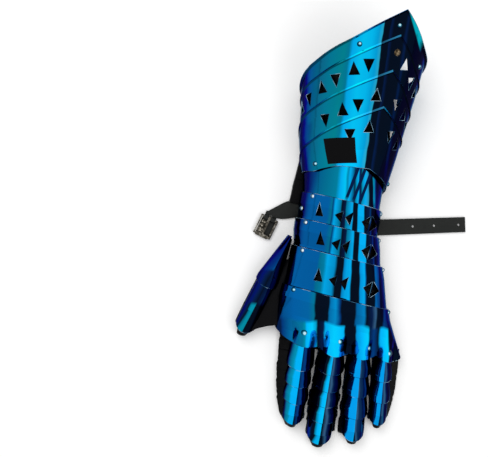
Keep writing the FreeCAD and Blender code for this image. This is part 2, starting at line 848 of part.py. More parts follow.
def knuckle_runs(y, lift):
    """Profile of the knuckle plate across the hand at a place along it."""
    flat_end = bearing_y[4] - front_lip - overrun
    share = min(1.0, max(0.0, (flat_end - y) / (flat_end - knuckle_start)))
    left, right, crown, crests = skin(max(y, flat_end))
    rise = play + plate + lift
    left = mix(left, knuckle_left + play + plate, share) - rise
    right = mix(right, knuckle_right - play - plate, share) + rise
    base_crown = mix(crown, valley_height, share) + rise
    middle = (left + right) / 2
    half = (right - left) / 2
    reach = abs(y - knuckle_dome_along) / (knuckle_dome_along - knuckle_front)
    swell = knuckle_rise * max(0.0, 1 - reach)
    centres = knuckle_centres(y)
    turns = [math.pi]
    for x in knuckle_valleys(y):
        turns.append(math.acos((x - middle) / half))
    turns.append(0.0)
    runs = []
    for k in range(4):
        run = []
        for n in range(13):
            turn = mix(turns[k], turns[k + 1], n / 12)
            x = middle + half * math.cos(turn)
            z = cheek_height + (base_crown - cheek_height) * math.sin(turn)
            for f in range(4):
                span = finger_root_half[f] + rise
                height = finger_root_height[f] - finger_pivot_height + rise + swell
                across = (x - centres[f]) / span
                if abs(across) < 1:
                    bump = finger_pivot_height + keel_height(across, height)
                    z = max(z, mix(z, bump, share))
            run.append((x, z))
        runs.append(run)
    return runs


def knuckle_wire(y):
    return sheet_wire(y, knuckle_runs(y, 0.0), knuckle_runs(y, -plate), plate_hem)


def knuckle_point(x, y):
    """Highest point and normal of the knuckle plate above a place."""
    def height(px, py):
        best = None
        for run in knuckle_runs(py, 0.0):
            for a, b in zip(run, run[1:]):
                if a[0] <= px <= b[0]:
                    best = mix(a[1], b[1], (px - a[0]) / (b[0] - a[0]))
        return best

    step = 2.0
    slope_x = (height(x + step, y) - height(x - step, y)) / (2 * step)
    slope_y = (height(x, y + step) - height(x, y - step)) / (2 * step)
    normal = V(-slope_x, -slope_y, 1)
    normal.normalize()
    return V(x, y, height(x, y)), normal


def knuckle_plate():
    rear = bearing_y[4] + rear_lip
    flat_end = bearing_y[4] - front_lip - overrun
    stations = [rear, flat_end, mix(flat_end, knuckle_start, knuckle_middle_share)]
    stations += [knuckle_dome_along, knuckle_start]
    stations.append(mix(knuckle_start, knuckle_front, knuckle_nose_share))
    stations.append(knuckle_front)
    body = loft([knuckle_wire(y) for y in stations])
    valleys = knuckle_valleys(finger_along[1])
    xs = [knuckle_left - play] + valleys + [knuckle_right + play]
    edges = []
    corners = [V(x, y, 0) for x, y in zip(xs, scallop_along)]
    for k in range(4):
        tip = V(knuckle_centres(finger_along[k])[k], finger_along[k], 0)
        edges.append(Part.Arc(corners[k], tip, corners[k + 1]).toShape())
    far_right = V(knuckle_right + play, rear + overrun, 0)
    far_left = V(knuckle_left - wrist_width / 4, rear + overrun, 0)
    low_left = V(knuckle_left - wrist_width / 4, scallop_along[0], 0)
    edges.append(Part.makeLine(corners[4], far_right))
    edges.append(Part.makeLine(far_right, far_left))
    edges.append(Part.makeLine(far_left, low_left))
    edges.append(Part.makeLine(low_left, corners[0]))
    outline = Part.Face(Part.Wire(edges)).extrude(V(0, 0, wrist_height))
    body = body.common(outline)
    cutters = []
    for share in (left_rivet_shares[4], right_rivet_share):
        place, normal = arch_point(bearing_y[4], share, 0)
        cutters.append(shank_hole(place, normal, shank_radius, plate, play + 3 * plate))
    domes = []
    for x in knuckle_rivet_across:
        place, normal = knuckle_point(x, knuckle_dome_along)
        domes.append(rivet(place, normal, knuckle_rivet_radius, knuckle_rivet_rise, plate))
        cutters.append(shank_hole(place, normal, shank_radius, 2 * plate, plate))
    nodes["knuckle_plate"] = body.cut(cutters)
    return domes


def lining_wire(y, sizes, low):
    """Closed glove section across the hand: arched back, chamfered flat palm."""
    left, right, crown = sizes
    run = arch_runs(left, right, crown, [], 0.0, 0.0, [14])[0]
    corner = palm_corner
    points = [
        V(right, y, low + corner),
        V(right - corner, y, low),
        V(left + corner, y, low),
        V(left, y, low + corner),
    ]
    first = V(run[0][0], y, run[0][1])
    last = V(run[-1][0], y, run[-1][1])
    edges = [bspline([V(x, y, z) for x, z in run])]
    edges.append(Part.makeLine(last, points[0]))
    for a, b in zip(points, points[1:]):
        edges.append(Part.makeLine(a, b))
    edges.append(Part.makeLine(points[3], first))
    return Part.Wire(edges)


def lining(stations):
    """Open glove tube through sections given as place, left, right, crown and underside."""
    outer = loft([lining_wire(y, sizes, low) for y, sizes, low in stations])
    inner = []
    for n, (y, sizes, low) in enumerate(stations):
        left, right, crown = sizes
        reach = overrun if n == 0 else -overrun if n == len(stations) - 1 else 0.0
        sizes = (left + leather, right - leather, crown - leather)
        inner.append(lining_wire(y + reach, sizes, low + leather))
    return outer.cut(loft(inner))


def skin_lining(y):
    left, right, crown, crests = skin(y)
    inset = plate + lining_play + flute_depth
    return left + plate + lining_play, right - plate - lining_play, crown - inset


def flap(span, left, low):
    """Leather edge that stands out from a lining on the thumb side."""
    rear, front = span
    width = left + flap_reach - flap_left
    return Part.makeBox(width, rear - front, flap_thickness, V(flap_left, front, low))


def glove():
    """Glove in lengths that ride with the plates, a fold's gap apart at each pivot."""
    shelf = strap_thickness + strap_shelf
    names = ("wrist_lining_1", "wrist_lining_2", "wrist_lining_3", "glove_palm")
    for k, name in enumerate(names):
        rear = bearing_y[k] - wrist_gap
        front = bearing_y[k + 1] + wrist_gap
        low = -palm_trim if name == "glove_palm" else shelf
        body = lining([(rear, skin_lining(rear), low), (front, skin_lining(front), low)])
        if name == "glove_palm":
            slab_corner = V(-cuff_width, -2 * hand_length, -leather)
            body = body.cut(Part.makeBox(2 * cuff_width, 2 * hand_length, leather, slab_corner))
        if k < 2:
            far = front if k == 0 else mix(rear, front, short_flap_share)
            body = body.fuse(flap((rear, far), skin_lining(rear)[0], low)).removeSplitter()
        nodes[name] = body
    rear = bearing_y[4] - wrist_gap
    flat_end = bearing_y[4] - front_lip - overrun
    front = knuckle_start + palm_gap
    root = skin_lining(flat_end)
    inset = plate + lining_play
    nose = (knuckle_left + inset, knuckle_right - inset, valley_height - inset)
    share = (flat_end - front) / (flat_end - knuckle_start)
    tip = tuple(mix(a, b, share) for a, b in zip(root, nose))
    stations = [(rear, skin_lining(rear), 0.0), (flat_end, root, 0.0), (front, tip, 0.0)]
    nodes["glove_knuckles"] = lining(stations)
    start = bearing_y[0] + wrist_gap
    narrow_end = bearing_y[0] + rear_lip + front_lip * 2 + overrun
    end = glove_mouth_share * cuff_length
    left, right, crown = skin_lining(start)
    throat = (left + leather, right - leather, crown - leather)
    stations = [(start, throat, shelf), (narrow_end, throat, shelf)]
    for share in (bell_start_share, 1.0):
        y = mix(narrow_end, end, share)
        left, right, crown, girth, foot, hem = cuff_section(y)
        inset = plate + lining_play + overrun
        sizes = (
            mix(throat[0], left * foot + right * (1 - foot) + inset, share),
            mix(throat[1], right * foot + left * (1 - foot) - inset, share),
            mix(throat[2], crown - inset, share),
        )
        stations.append((y, sizes, shelf))
    stations.reverse()
    edge = flap((start + cuff_flap_length, start), stations[-1][1][0], shelf)
    nodes["glove_cuff"] = lining(stations).fuse(edge).removeSplitter()


def strap_tail():
    """Long strap end with three punched holes, lying on the table from below the wrist."""
    corners = [
        V(0, -strap_width / 2, 0),
        V(strap_length, -strap_end_width / 2, 0),
        V(strap_length, strap_end_width / 2, 0),
        V(0, strap_width / 2, 0),
    ]
    tail = Part.Face(Part.makePolygon(corners + [corners[0]])).extrude(V(0, 0, strap_thickness))
    tab_corner = V(0, -strap_end_width / 2, 0)
    tab = Part.makeBox(tab_length, strap_end_width, strap_thickness + strap_shelf, tab_corner)
    tail = tail.fuse(tab).removeSplitter()
    holes = []
    for share in strap_hole_shares:
        place = V(share * strap_length, 0, -strap_thickness / 2)
        holes.append(Part.makeCylinder(strap_hole_radius, 2 * strap_thickness, place))
    tail = tail.cut(holes)
    spin = FreeCAD.Rotation(V(0, 0, 1), strap_turn_degrees)
    tail.Placement = FreeCAD.Placement(V(strap_start_x, strap_start_y, 0), spin)
    nodes["strap_tail"] = tail


def at_buckle(shape):
    """Set a piece made along +X from the buckle's bar onto the end of its strap."""
    spin = FreeCAD.Rotation(V(0, 0, 1), buckle_turn_degrees)
    height = buckle_wire + bar_play + buckle_loop_leather
    shape.Placement = FreeCAD.Placement(V(buckle_bar_x, buckle_bar_y, height), spin)
    return shape


def across_bar(radius, width, x=0.0):
    return Part.makeCylinder(radius, width, V(x, -width / 2, 0), V(0, 1, 0))


def buckle_strap():
    """Short strap with the loop that holds the buckle's bar."""
    loop_radius = buckle_wire + bar_play + buckle_loop_leather
    turn = math.radians(buckle_turn_degrees)
    way = V(math.cos(turn), math.sin(turn), 0)
    side = V(-way.y, way.x, 0) * (buckle_loop_width / 2)
    end = V(buckle_bar_x, buckle_bar_y, 0) - way * (loop_radius + bar_play)
    far = [V(x, y, 0) for x, y in buckle_strap_far_edge] + [end - side]
    near = [V(x, y, 0) for x, y in buckle_strap_near_edge] + [end + side]
    edges = [bspline(far)]
    edges.append(Part.makeLine(far[-1], near[-1]))
    edges.append(bspline(near[::-1]))
    edges.append(Part.makeLine(near[0], far[0]))
    band = Part.Face(Part.Wire(edges)).extrude(V(0, 0, strap_thickness))
    root = buckle_strap_near_edge[0]
    width = buckle_strap_far_edge[0][1] - root[1]
    tab_corner = V(root[0] - tab_length, root[1], 0)
    tab = Part.makeBox(tab_length, width, strap_thickness + strap_shelf, tab_corner)
    width = buckle_loop_width
    tongue_corner = V(-2 * loop_radius, -width / 2, -loop_radius)
    tongue = Part.makeBox(2 * loop_radius, width, strap_thickness, tongue_corner)
    loop = across_bar(loop_radius, width).fuse(tongue)
    slot = prong_width + 2 * bar_play
    slot_rear = V(-loop_radius - bar_play, -slot / 2, -loop_radius)
    slot_box = Part.makeBox(3 * loop_radius, slot, 3 * loop_radius, slot_rear)
    loop = loop.cut([across_bar(buckle_wire + bar_play, 2 * width), slot_box])
    nodes["buckle_strap"] = band.fuse([tab, at_buckle(loop)]).removeSplitter()


def buckle():
    """Buckle frame of round wire with a roller on its outer bar and a flat prong."""
    half = buckle_width / 2 - buckle_wire
    reach = buckle_length - 2 * buckle_wire
    posts = [V(0, -half, 0), V(reach, -half, 0), V(reach, half, 0), V(0, half, 0)]
    bars = []
    for a, b in zip(posts, posts[1:] + posts[:1]):
        bars.append(Part.makeCylinder(buckle_wire, a.distanceToPoint(b), a, b - a))
        bars.append(Part.makeSphere(buckle_wire, a))
    nodes["buckle_frame"] = at_buckle(bars[0].fuse(bars[1:]).removeSplitter())
    bore = buckle_wire + bar_play
    length = 2 * (half - buckle_wire - bar_play)
    roller = across_bar(bore + roller_wall, length, reach)
    nodes["buckle_roller"] = at_buckle(roller.cut(across_bar(bore, 2 * length, reach)))
    eye = bore + prong_thickness
    rest = bore + roller_wall + bar_play
    profile = [
        V(0, 0, bore + prong_thickness / 4),
        V(reach, 0, rest),
        V(reach + bore, 0, rest),
        V(reach + bore, 0, rest + prong_thickness / 2),
        V(reach, 0, rest + prong_thickness),
        V(0, 0, eye),
    ]
    arm = Part.Face(Part.makePolygon(profile + [profile[0]])).extrude(V(0, prong_width, 0))
    arm.translate(V(0, -prong_width / 2, 0))
    prong = across_bar(eye, prong_width).fuse(arm)
    nodes["buckle_prong"] = at_buckle(prong.cut(across_bar(bore, 2 * prong_width)))


os.makedirs("parts", exist_ok=True)
wrist_plates()
groups = pivot_rivets()
groups["cuff"].extend(cuff())
groups["knuckle"].extend(knuckle_plate())
seats = (
    ("cuff", "cuff_plate"),
    ("wrist_lame_2", "wrist_lame_2"),
    ("wrist_lame_3", "wrist_lame_3"),
    ("metacarpal", "metacarpal_plate"),
    ("knuckle", "knuckle_plate"),
)
for owner, seat in seats:
    nodes[owner + "_rivets"] = seated(groups[owner], nodes[seat])
fingers()
thumb()
glove()
strap_tail()
buckle_strap()
buckle()

set_down = V(0, -(bearing_y[3] + bearing_y[4]) / 2, 0)
for name, shape in nodes.items():
    print(name, shape.isValid(), round(shape.Volume), len(shape.Solids))
    shape.translate(set_down)
    shape.exportStep("parts/" + name + ".step")
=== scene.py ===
import json
import math

import bmesh
import bpy
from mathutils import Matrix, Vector, noise
from mathutils.bvhtree import BVHTree


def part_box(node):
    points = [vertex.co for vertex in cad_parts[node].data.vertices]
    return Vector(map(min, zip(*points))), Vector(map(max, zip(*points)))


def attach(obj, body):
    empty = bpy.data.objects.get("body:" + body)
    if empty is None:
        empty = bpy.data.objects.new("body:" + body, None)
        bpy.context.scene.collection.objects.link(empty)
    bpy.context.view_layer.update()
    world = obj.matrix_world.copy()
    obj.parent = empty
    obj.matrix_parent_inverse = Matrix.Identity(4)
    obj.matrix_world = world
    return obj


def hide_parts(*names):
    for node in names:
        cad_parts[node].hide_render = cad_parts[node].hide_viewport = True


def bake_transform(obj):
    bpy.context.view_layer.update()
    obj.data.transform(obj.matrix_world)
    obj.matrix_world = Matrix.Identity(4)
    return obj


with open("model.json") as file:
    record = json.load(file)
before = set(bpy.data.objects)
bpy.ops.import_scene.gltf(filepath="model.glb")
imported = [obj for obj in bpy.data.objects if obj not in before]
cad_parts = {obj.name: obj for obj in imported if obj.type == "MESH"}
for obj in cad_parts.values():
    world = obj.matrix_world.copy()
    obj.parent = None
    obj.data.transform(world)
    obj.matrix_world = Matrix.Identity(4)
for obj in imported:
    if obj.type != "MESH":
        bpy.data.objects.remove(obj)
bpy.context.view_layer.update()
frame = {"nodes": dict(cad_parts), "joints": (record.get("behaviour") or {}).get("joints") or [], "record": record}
palmLow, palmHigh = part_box("glove_palm")
palmAlong = (palmLow.y + palmHigh.y) / 2   # places below are told from the middle of the palm
print("frame loaded", len(frame["nodes"]), "nodes")


# A Signal is one output of a shader node: sums and products of signals make the maths nodes.
class Signal:
    def __init__(self, tree, socket):
        self.tree = tree
        self.socket = socket

    def maths(self, operation, other=None, swapped=False):
        made = self.tree.nodes.new("ShaderNodeMath")
        made.operation = operation
        first, second = (other, self) if swapped else (self, other)
        for slotNumber, value in enumerate((first, second)):
            if isinstance(value, Signal):
                self.tree.links.new(value.socket, made.inputs[slotNumber])
            elif value is not None:
                made.inputs[slotNumber].default_value = value
        return Signal(self.tree, made.outputs[0])

    def __add__(self, other):
        return self.maths("ADD", other)

    def __radd__(self, other):
        return self.maths("ADD", other, True)

    def __sub__(self, other):
        return self.maths("SUBTRACT", other)

    def __rsub__(self, other):
        return self.maths("SUBTRACT", other, True)

    def __mul__(self, other):
        return self.maths("MULTIPLY", other)

    def __rmul__(self, other):
        return self.maths("MULTIPLY", other, True)

    def __truediv__(self, other):
        return self.maths("DIVIDE", other)

    def limited(self):
        held = self.maths("ADD", 0.0)
        held.socket.node.use_clamp = True
        return held


class Finish:
    def __init__(self, name):
        self.material = bpy.data.materials.new(name)
        self.material.use_nodes = True
        self.tree = self.material.node_tree
        self.tree.nodes.clear()
        self.end = self.tree.nodes.new("ShaderNodeOutputMaterial")

    def node(self, kind, inputs=None, out=0, **settings):
        made = self.tree.nodes.new(kind)
        stops = settings.pop("stops", None)
        for key, value in settings.items():
            setattr(made, key, value)
        if stops:
            ramp = made.color_ramp
            while len(ramp.elements) < len(stops):
                ramp.elements.new(1.0)
            for element, (place, colour) in zip(ramp.elements, stops):
                element.position = place
            for element, (place, colour) in zip(ramp.elements, stops):
                element.color = (*colour, 1.0)
        for key, value in (inputs or {}).items():
            socket = made.inputs[key]
            if isinstance(value, Signal):
                self.tree.links.new(value.socket, socket)
            else:
                socket.default_value = value
        return Signal(self.tree, made.outputs[out])

    def place(self, centre=(0, 0, 0), scale=(1, 1, 1)):
        point = self.node("ShaderNodeTexCoord", out="Object")
        return self.node("ShaderNodeMapping", {"Vector": point, "Location": centre, "Scale": scale})

    def mixed(self, share, first, second):
        return self.node("ShaderNodeMix", {0: share, 6: first, 7: second}, out=2, data_type="RGBA")

    def noise(self, point, scale, detail=2.0):
        return self.node("ShaderNodeTexNoise", {"Vector": point, "Scale": scale, "Detail": detail})

    def ramp(self, share, stops):
        return self.node("ShaderNodeValToRGB", {"Fac": share}, stops=stops)

    def bumped(self, height, strength, distance):
        return self.node("ShaderNodeBump", {"Height": height, "Strength": strength, "Distance": distance})

    def close(self, **inputs):
        shader = self.node("ShaderNodeBsdfPrincipled", {k.replace("_", " "): v for k, v in inputs.items()})
        self.tree.links.new(shader.socket, self.end.inputs["Surface"])
        return self.material


def wear(obj, material):
    obj.data.materials.clear()
    obj.data.materials.append(material)


# Blue steel: painted reflection bands of colour that follow each plate and the way each surface faces, standing in
# for the reflections of a room.

steelLook = {
    "roughness": 0.10,
    "roughSpread": 0.04,
    "fineScale": 900.0,
    "coat": 0.03,
    "coatRoughness": 0.05,
    "grazing": (0.08, 0.26, 0.50),
    "lengthwise": 0.10,
    "streakScale": 190.0,
    "streakSquash": 0.16,
    "fanLoose": 0.6,
    "sideStart": 0.29,
    "sideSharp": 14.0,
    "borderSharp": 260.0,
    "borderWander": 0.012,
    "crestLean": 0.22,
    "crestStart": 0.16,
    "crestSharp": 6.0,
    "rippleScale": 55.0,
    "rippleStrength": 0.12,
    "rippleHeight": 0.0006,
}
black = (0.0008, 0.0040, 0.0130)
navy = (0.0010, 0.0110, 0.0600)
indigo = (0.0008, 0.0060, 0.1300)
deepBlue = (0.0000, 0.0400, 0.1900)
midBlue = (0.0000, 0.1150, 0.3800)
skyBlue = (0.0000, 0.3300, 0.8200)
teal = (0.0000, 0.1700, 0.3100)
cyan = (0.0000, 0.4300, 0.9000)
brightCyan = (0.0000, 0.5800, 0.9700)
steelBlue = (0.0300, 0.1000, 0.2100)
ridgeHighlightBlue = (0.0400, 0.3400, 0.6200)

cuffBands = (
    (0.00, steelBlue), (0.035, navy), (0.09, (0.0, 0.03, 0.14)), (0.15, (0.0, 0.10, 0.24)),
    (0.22, (0.003, 0.14, 0.27)), (0.30, (0.0, 0.20, 0.32)), (0.40, (0.0, 0.235, 0.30)),
    (0.44, (0.0, 0.20, 0.33)), (0.465, cyan), (0.54, brightCyan), (0.61, (0.0, 0.52, 0.93)),
    (0.665, (0.0, 0.36, 0.72)), (0.695, (0.02, 0.40, 0.62)), (0.703, black), (0.755, black), (0.765, navy),
    (0.79, black), (0.885, black), (0.905, navy), (0.925, black),
)
cuffLowBands = (
    (0.00, steelBlue), (0.03, navy), (0.06, (0.0, 0.012, 0.22)), (0.13, indigo), (0.17, deepBlue),
) + cuffBands[4:]
firstLameBands = (
    (0.00, navy), (0.05, deepBlue), (0.12, (0.0, 0.13, 0.30)), (0.22, teal), (0.36, (0.0, 0.22, 0.36)),
    (0.41, cyan), (0.47, brightCyan), (0.50, (0.0, 0.24, 0.42)), (0.53, cyan), (0.585, (0.0, 0.10, 0.22)),
    (0.60, black), (0.625, (0.0, 0.30, 0.55)), (0.655, cyan), (0.665, deepBlue), (0.69, black),
    (0.715, (0.0, 0.28, 0.50)), (0.76, cyan), (0.80, (0.02, 0.30, 0.5)), (0.812, black), (0.87, black),
    (0.885, (0.0, 0.32, 0.55)), (0.915, deepBlue), (0.93, navy), (0.945, black),
)
midLameBands = (
    (0.00, navy), (0.05, midBlue), (0.30, midBlue), (0.345, teal), (0.36, deepBlue), (0.385, cyan),
    (0.455, teal), (0.465, black), (0.515, navy), (0.525, teal), (0.60, cyan), (0.61, black),
    (0.665, black), (0.675, cyan), (0.75, cyan), (0.762, black), (0.83, navy), (0.84, deepBlue),
    (0.86, black), (0.93, black), (0.945, deepBlue), (0.98, navy),
)
backBands = (
    (0.00, navy), (0.05, midBlue), (0.27, midBlue), (0.29, teal), (0.33, (0.0, 0.22, 0.40)), (0.36, cyan),
    (0.43, (0.0, 0.30, 0.66)), (0.455, black), (0.52, black), (0.53, (0.0, 0.25, 0.62)), (0.56, cyan),
    (0.60, cyan), (0.61, black), (0.69, black), (0.70, (0.0, 0.30, 0.72)), (0.745, cyan), (0.755, midBlue),
    (0.765, black), (0.85, black), (0.86, midBlue), (0.905, deepBlue), (0.915, black), (0.97, navy),
)
knuckleBands = (
    (0.00, deepBlue), (0.03, (0.0, 0.08, 0.27)), (0.12, midBlue), (0.24, (0.0, 0.13, 0.38)), (0.29, teal),
    (0.305, black), (0.41, black), (0.425, (0.0, 0.16, 0.42)), (0.47, (0.0, 0.26, 0.60)), (0.51, deepBlue),
    (0.525, black), (0.64, black), (0.655, (0.0, 0.11, 0.32)), (0.73, (0.0, 0.20, 0.5)), (0.75, black),
    (0.80, navy), (0.83, steelBlue), (0.845, black), (0.90, black), (0.92, deepBlue), (0.97, black),
)
knuckleLowBands = (
    (0.00, navy), (0.02, deepBlue), (0.10, (0.0, 0.13, 0.33)), (0.19, teal), (0.21, (0.0, 0.24, 0.36)),
    (0.225, cyan), (0.28, brightCyan), (0.315, (0.0, 0.36, 0.62)), (0.33, black), (0.385, navy),
    (0.40, cyan), (0.47, brightCyan), (0.555, (0.0, 0.46, 0.90)), (0.567, black), (0.66, black),
    (0.672, (0.0, 0.30, 0.70)), (0.71, cyan), (0.77, brightCyan), (0.785, navy), (0.83, deepBlue),
    (0.87, black), (0.89, cyan), (0.95, brightCyan), (0.962, black),
)
fingerBands = {
    "index": (
        (0.00, black), (0.10, navy), (0.15, teal), (0.22, (0.0, 0.28, 0.44)), (0.26, cyan), (0.47, cyan),
        (0.485, (0.0, 0.20, 0.42)), (0.495, black), (0.60, black), (0.62, navy), (0.70, deepBlue),
        (0.76, indigo), (0.82, black),
    ),
    "middle": (
        (0.00, black), (0.08, navy), (0.12, (0.0, 0.012, 0.20)), (0.17, (0.0, 0.035, 0.22)), (0.21, navy),
        (0.235, black), (0.285, black), (0.30, (0.0, 0.20, 0.34)), (0.335, cyan), (0.43, brightCyan),
        (0.445, teal), (0.455, black), (0.60, black), (0.66, steelBlue), (0.70, navy), (0.84, black),
    ),
    "ring": (
        (0.00, black), (0.12, navy), (0.15, (0.0, 0.20, 0.55)), (0.20, skyBlue), (0.36, skyBlue),
        (0.41, cyan), (0.465, (0.0, 0.46, 0.78)), (0.48, black), (0.59, black), (0.62, steelBlue),
        (0.66, (0.004, 0.025, 0.08)), (0.76, navy), (0.80, steelBlue), (0.83, black),
    ),
    "little": (
        (0.00, black), (0.12, navy), (0.15, (0.0, 0.16, 0.50)), (0.20, skyBlue), (0.38, skyBlue),
        (0.455, cyan), (0.47, teal), (0.48, black), (0.60, black), (0.63, navy), (0.70, steelBlue),
        (0.76, navy), (0.84, black),
    ),
}
thumbBands = (
    (0.00, black), (0.10, indigo), (0.20, navy), (0.26, indigo), (0.33, navy), (0.40, black), (0.45, navy),
    (0.48, deepBlue), (0.515, (0.0, 0.09, 0.30)), (0.535, navy), (0.55, black), (0.66, navy),
    (0.72, deepBlue), (0.78, navy), (0.90, black),
)
thumbLowBands = (
    (0.00, black), (0.10, navy), (0.18, indigo), (0.25, navy), (0.29, black), (0.31, (0.0, 0.14, 0.24)),
    (0.35, (0.0, 0.27, 0.38)), (0.49, (0.0, 0.24, 0.36)), (0.505, black), (0.90, black),
)
thumbTopBands = (
    (0.00, navy), (0.10, indigo), (0.26, (0.0, 0.02, 0.16)), (0.33, deepBlue), (0.36, (0.0, 0.08, 0.30)),
    (0.50, (0.0, 0.10, 0.34)), (0.52, deepBlue), (0.54, black), (0.66, navy), (0.72, deepBlue),
    (0.78, black),
)
sideBands = (
    (0.00, black), (0.06, navy), (0.13, deepBlue), (0.20, midBlue), (0.50, midBlue), (0.70, navy),
    (0.78, black), (0.86, deepBlue), (0.90, teal), (0.93, navy), (1.0, black),
)
cuffSideBands = (
    (0.00, black), (0.05, navy), (0.09, (0.0, 0.012, 0.22)), (0.15, midBlue), (0.22, deepBlue),
    (0.50, teal), (0.70, navy), (0.75, black), (0.862, black), (0.872, steelBlue), (0.885, navy),
    (0.895, black), (0.93, (0.0, 0.20, 0.34)), (0.95, navy), (0.965, black),
)
# each fan runs between two lines over the plate: where it starts at the palm, and how far it drifts going up
lameFan = {"left": (-0.0470, 0.0), "right": (0.0653, -0.3465), "share": 1.0}
cuffFan = {"left": (-0.0601, -0.1538), "right": (0.0235, -0.1538), "share": 0.70}
knuckleFan = {"left": (-0.0537, -0.2493), "right": (0.0712, -0.2493), "share": 1.0}
# below its line, a border gives a plate other painted reflection bands
knuckleBorder = {"bands": knuckleLowBands, "line": (-0.0500, 0.15), "fan": True}
thumbBorder = {"bands": thumbLowBands, "line": (-0.0480, 0.0), "fan": False}
thumbTopBorder = {"bands": thumbBands, "line": (0.0080, 0.25), "fan": False}
cuffBorder = {"bands": cuffLowBands, "line": (0.1600, 0.10), "fan": True}
# painted reflection: dark slanting strokes on the first wrist plate
lameReflectionStreaks = {
    "slope": 0.123,
    "first": -0.0161,
    "apart": 0.0075,
    "from": -0.0205,
    "to": 0.0030,
    "low": 0.0840,
    "sideSharp": 900.0,
    "lowSharp": 300.0,
    "wander": 0.5,
    "thinner": 0.05,
    "strokeSharp": 5.0,
}
# painted highlight: a light strip along the right side of the cuff's mouth
cuffRimHighlight = {
    "slope": 1.15,
    "start": 0.2800,
    "from": 0.0030,
    "to": 0.0300,
    "startSharp": 500.0,
    "fromSharp": 400.0,
    "toSharp": 200.0,
    "colour": (0.0, 0.40, 0.50),
}


def splitNormal(finish):
    facing = finish.node("ShaderNodeTexCoord", out="Normal")
    outputs = finish.node("ShaderNodeSeparateXYZ", {"Vector": facing}).socket.node.outputs
    return [Signal(finish.tree, outputs[n]) for n in range(3)]


def strokes(slashes, across, along, drift):
    aside = across - along * slashes["slope"]
    wave = ((aside - slashes["first"]) * (2 * math.pi / slashes["apart"])).maths("COSINE")
    within = ((aside - slashes["from"]) * slashes["sideSharp"]).limited()
    within = within * ((slashes["to"] - aside) * slashes["sideSharp"]).limited()
    within = within * ((along - slashes["low"]) * slashes["lowSharp"]).limited()
    wave = wave + (drift - 0.5) * slashes["wander"] - slashes["thinner"]
    return (wave * slashes["strokeSharp"]).limited() * within


def rimHighlightStrip(rim, across, along):
    strip = ((along + across * rim["slope"] - rim["start"]) * rim["startSharp"]).limited()
    strip = strip * ((across - rim["from"]) * rim["fromSharp"]).limited()
    return strip * ((rim["to"] - across) * rim["toSharp"]).limited()


def blueSteel(name, bands, wander, wanderScale, fan=None, shift=0.0, shadeStrength=0.3, slope=0.0,
              border=None, sides=sideBands, ridgeHighlight=0.0, rim=None, slashes=None):
    finish = Finish(name)
    nx, ny, nz = splitNormal(finish)
    # painted reflection: the bands are read off the way the surface faces (tilt, and ny lengthwise) and off the
    # place across the plate (fan)
    tilt = nx.maths("ARCTAN2", nz) * (1 / math.pi)
    point = finish.place((0, -palmAlong, 0))
    stretched = finish.place((0, 0, 0), (1.0, steelLook["streakSquash"], 1.0))
    drift = finish.noise(point, wanderScale, 1.0)
    streak = finish.noise(stretched, steelLook["streakScale"], 1.5)
    loose = (drift - 0.5) * wander + (streak - 0.5) * wander * 0.5
    turned = tilt + 0.5 + ny * steelLook["lengthwise"] + loose
    where = finish.node("ShaderNodeSeparateXYZ", {"Vector": point}).socket.node.outputs
    across, along = Signal(finish.tree, where[0]), Signal(finish.tree, where[1])
    spread = turned
    if fan:
        left = along * fan["left"][1] + fan["left"][0]
        right = along * fan["right"][1] + fan["right"][0]
        spread = (across - left) / (right - left) * fan["share"] + loose * steelLook["fanLoose"] + shift
    colour = finish.ramp(spread, bands)
    if border:
        below = across * border["line"][1] + border["line"][0] - along
        below = below + (drift - 0.5) * steelLook["borderWander"]
        below = (below * steelLook["borderSharp"] + 0.5).limited()
        lower = finish.ramp(spread if border["fan"] else turned, border["bands"])
        colour = finish.mixed(below, colour, lower)
    if fan:
        side = ((tilt.maths("ABSOLUTE") - steelLook["sideStart"]) * steelLook["sideSharp"]).limited()
        colour = finish.mixed(side, colour, finish.ramp(turned, sides))
    # painted light and shade: surfaces facing +y (up the arm) are painted lighter, surfaces facing -y darker;
    # slope shifts where the change falls
    lit = ((ny + slope) * shadeStrength + 0.5).limited() * 2.0
    colour = finish.node("ShaderNodeVectorMath", {0: colour, "Scale": lit}, operation="SCALE")
    # painted highlight: light blue painted along the bead crests, where the surface faces up the arm
    if ridgeHighlight:
        crestHighlight = (ny + nx * steelLook["crestLean"] - steelLook["crestStart"]) * steelLook["crestSharp"]
        colour = finish.mixed(crestHighlight.limited() * ridgeHighlight, colour, (*ridgeHighlightBlue, 1.0))
    # painted reflection: dark slanting streaks mixed into the colour
    if slashes:
        colour = finish.mixed(strokes(slashes, across, along, drift), colour, (*navy, 1.0))
    # painted highlight along the right side of the cuff's mouth
    if rim:
        colour = finish.mixed(rimHighlightStrip(rim, across, along), colour, (*rim["colour"], 1.0))
    fine = finish.noise(point, steelLook["fineScale"])
    ripple = finish.noise(point, steelLook["rippleScale"], 1.0)
    return finish.close(
        Base_Color=colour, Metallic=1.0,
        Roughness=steelLook["roughness"] + (fine - 0.5) * steelLook["roughSpread"],
        Normal=finish.bumped(ripple, steelLook["rippleStrength"], steelLook["rippleHeight"]),
        Specular_Tint=(*steelLook["grazing"], 1.0),
        Coat_Weight=steelLook["coat"], Coat_Roughness=steelLook["coatRoughness"])


